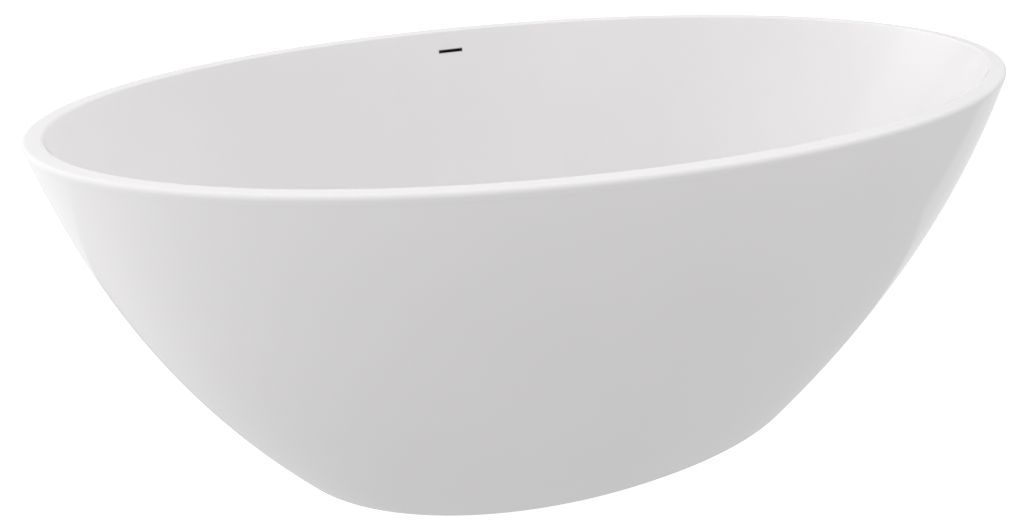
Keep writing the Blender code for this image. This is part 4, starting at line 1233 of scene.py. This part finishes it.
def foot_plastic_material():
    dark = (0.035, 0.035, 0.038)
    light = (0.055, 0.055, 0.058)
    return speckled("black_moulding", dark, light, 60, (0.4, 0.6), (900, 0.0001))


def adhesive_material():
    dark = (0.28, 0.28, 0.29)
    light = (0.38, 0.38, 0.39)
    return speckled("grey_adhesive", dark, light, 70, (0.5, 0.8), (250, 0.0006))


def chrome_material():
    dark = (0.78, 0.78, 0.80)
    light = (0.84, 0.84, 0.85)
    return speckled("polished_chrome", dark, light, 30, (0.04, 0.09), (60, 0.00001), metallic=1.0)


# Near-black plastic for the waste and overflow parts. It is partly a dark moulding and partly painted shade,
# which darkens what shows inside the overflow slot.
def dark_plastic_and_painted_shade_material():
    dark = (0.07, 0.07, 0.074)
    light = (0.11, 0.11, 0.115)
    return speckled("dark_moulding_and_painted_shade", dark, light, 40, (0.35, 0.5), (600, 0.00006))


def hose_material():
    dark = (0.36, 0.37, 0.38)
    light = (0.46, 0.47, 0.48)
    return speckled("grey_hose", dark, light, 50, (0.35, 0.5), (300, 0.0001))


def make_materials():
    return {
        "acrylic": acrylic_material(),
        "backing": backing_material(),
        "bonding_resin": resin_material(),
        "particle_board": chipboard_material(),
        "galvanised_steel": galvanised_material(),
        "zinc_fasteners": zinc_material(),
        "black_rubber": rubber_material(),
        "foot_plastic": foot_plastic_material(),
        "grey_adhesive": adhesive_material(),
        "chrome": chrome_material(),
        "dark_plastic": dark_plastic_and_painted_shade_material(),
        "grey_hose": hose_material(),
    }


def dress_cad_nodes(looks):
    """Gives every CAD node that stays the material of its slot."""
    for part in frame["record"]["subparts"]:
        node = frame["nodes"][part["node"]]
        for slot in node.material_slots:
            slot.material = looks[part["material_slot"]]


# ---------------------------------------------------------------- studio


def floor_material():
    look, tree, shader, place = base_material("studio_floor")
    tone = colour_ramp(tree, noise(tree, place, 1.5), (0.3, (0.90, 0.90, 0.90)), (0.7, (0.92, 0.92, 0.92)))
    tree.links.new(tone, shader.inputs["Base Color"])
    shader.inputs["Roughness"].default_value = 0.8
    shader.inputs["Specular IOR Level"].default_value = 0.2
    shader.inputs["Emission Color"].default_value = (1.0, 1.0, 1.0, 1.0)
    shader.inputs["Emission Strength"].default_value = FLOOR_GLOW
    return look


def build_floor():
    """A pale floor with a wall far behind it, which neither light the tub nor show in its gloss."""
    floor = capped_piece("studio_floor", [circle(FLOOR_RADIUS, -FLOOR_THICKNESS), circle(FLOOR_RADIUS, 0.0)])
    outer = [circle(FLOOR_RADIUS, height) for height in (WALL_HEIGHT, 0.0)]
    inner = [circle(FLOOR_RADIUS - WALL_THICKNESS, height) for height in (0.0, WALL_HEIGHT)]
    wall = ringed_piece("studio_wall", outer + inner)
    look = floor_material()
    for backdrop in (floor, wall):
        backdrop.data.materials.append(look)
        backdrop.visible_diffuse = False
        backdrop.visible_glossy = False
        backdrop.visible_shadow = False


def softbox(name, position, aim, size, power):
    """A rectangular light, out of the camera's sight, that leaves no sharp highlight."""
    light = bpy.data.lights.new(name, "AREA")
    light.shape = "RECTANGLE"
    light.size, light.size_y = size
    light.energy = power
    lamp = bpy.data.objects.new(name, light)
    lamp.location = position
    lamp.rotation_euler = (Vector(aim) - Vector(position)).to_track_quat("-Z", "Y").to_euler()
    lamp.visible_camera = False
    lamp.visible_glossy = False
    bpy.context.scene.collection.objects.link(lamp)
    return lamp


def build_lights():
    world = bpy.data.worlds.new("studio")
    world.use_nodes = True
    background = world.node_tree.nodes["Background"]
    background.inputs["Color"].default_value = (1.0, 1.0, 1.0, 1.0)
    background.inputs["Strength"].default_value = WORLD_LIGHT
    bpy.context.scene.world = world
    for name, (position, aim, size, power) in SOFTBOXES.items():
        softbox(name, position, aim, size, power)
    for name, (position, aim, size, power, even) in CARDS.items():
        for layer in range(CARD_LAYERS):
            share = 1 - (1 - even) * layer / (CARD_LAYERS - 1)
            layer_size = (size[0] * share, size[1] * share)
            card = softbox(f"{name}_{layer}", position, aim, layer_size, power * share**2)
            card.data.spread = CARD_SPREAD
            card.visible_diffuse = False
            card.visible_glossy = True


def build_camera():
    data = bpy.data.cameras.new("camera")
    data.sensor_width = CAMERA_SENSOR
    data.lens = CAMERA_LENS
    data.shift_x, data.shift_y = CAMERA_SHIFT
    camera = bpy.data.objects.new("camera", data)
    level = math.cos(CAMERA_ELEVATION)
    offset = Vector(
        (
            math.sin(CAMERA_AZIMUTH) * level,
            -math.cos(CAMERA_AZIMUTH) * level,
            math.sin(CAMERA_ELEVATION),
        )
    )
    camera.location = CAMERA_TARGET + CAMERA_DISTANCE * offset
    camera.rotation_euler = (-offset).to_track_quat("-Z", "Y").to_euler()
    bpy.context.scene.collection.objects.link(camera)
    bpy.context.scene.camera = camera
    bpy.context.scene.view_settings.view_transform = "Standard"


build_camera()
looks = make_materials()
dress_cad_nodes(looks)
build_basin(looks)
build_skirt(looks)
build_feet(looks)
build_board_screws(looks)
build_waste(looks)
build_banjo(looks)
build_backnut(looks)
build_seals(looks)
build_plug(looks)
build_stem(looks)
build_cartridge(looks)
build_spring(looks)
build_slot_liner(looks)
build_hose(looks)
build_floor()
build_lights()
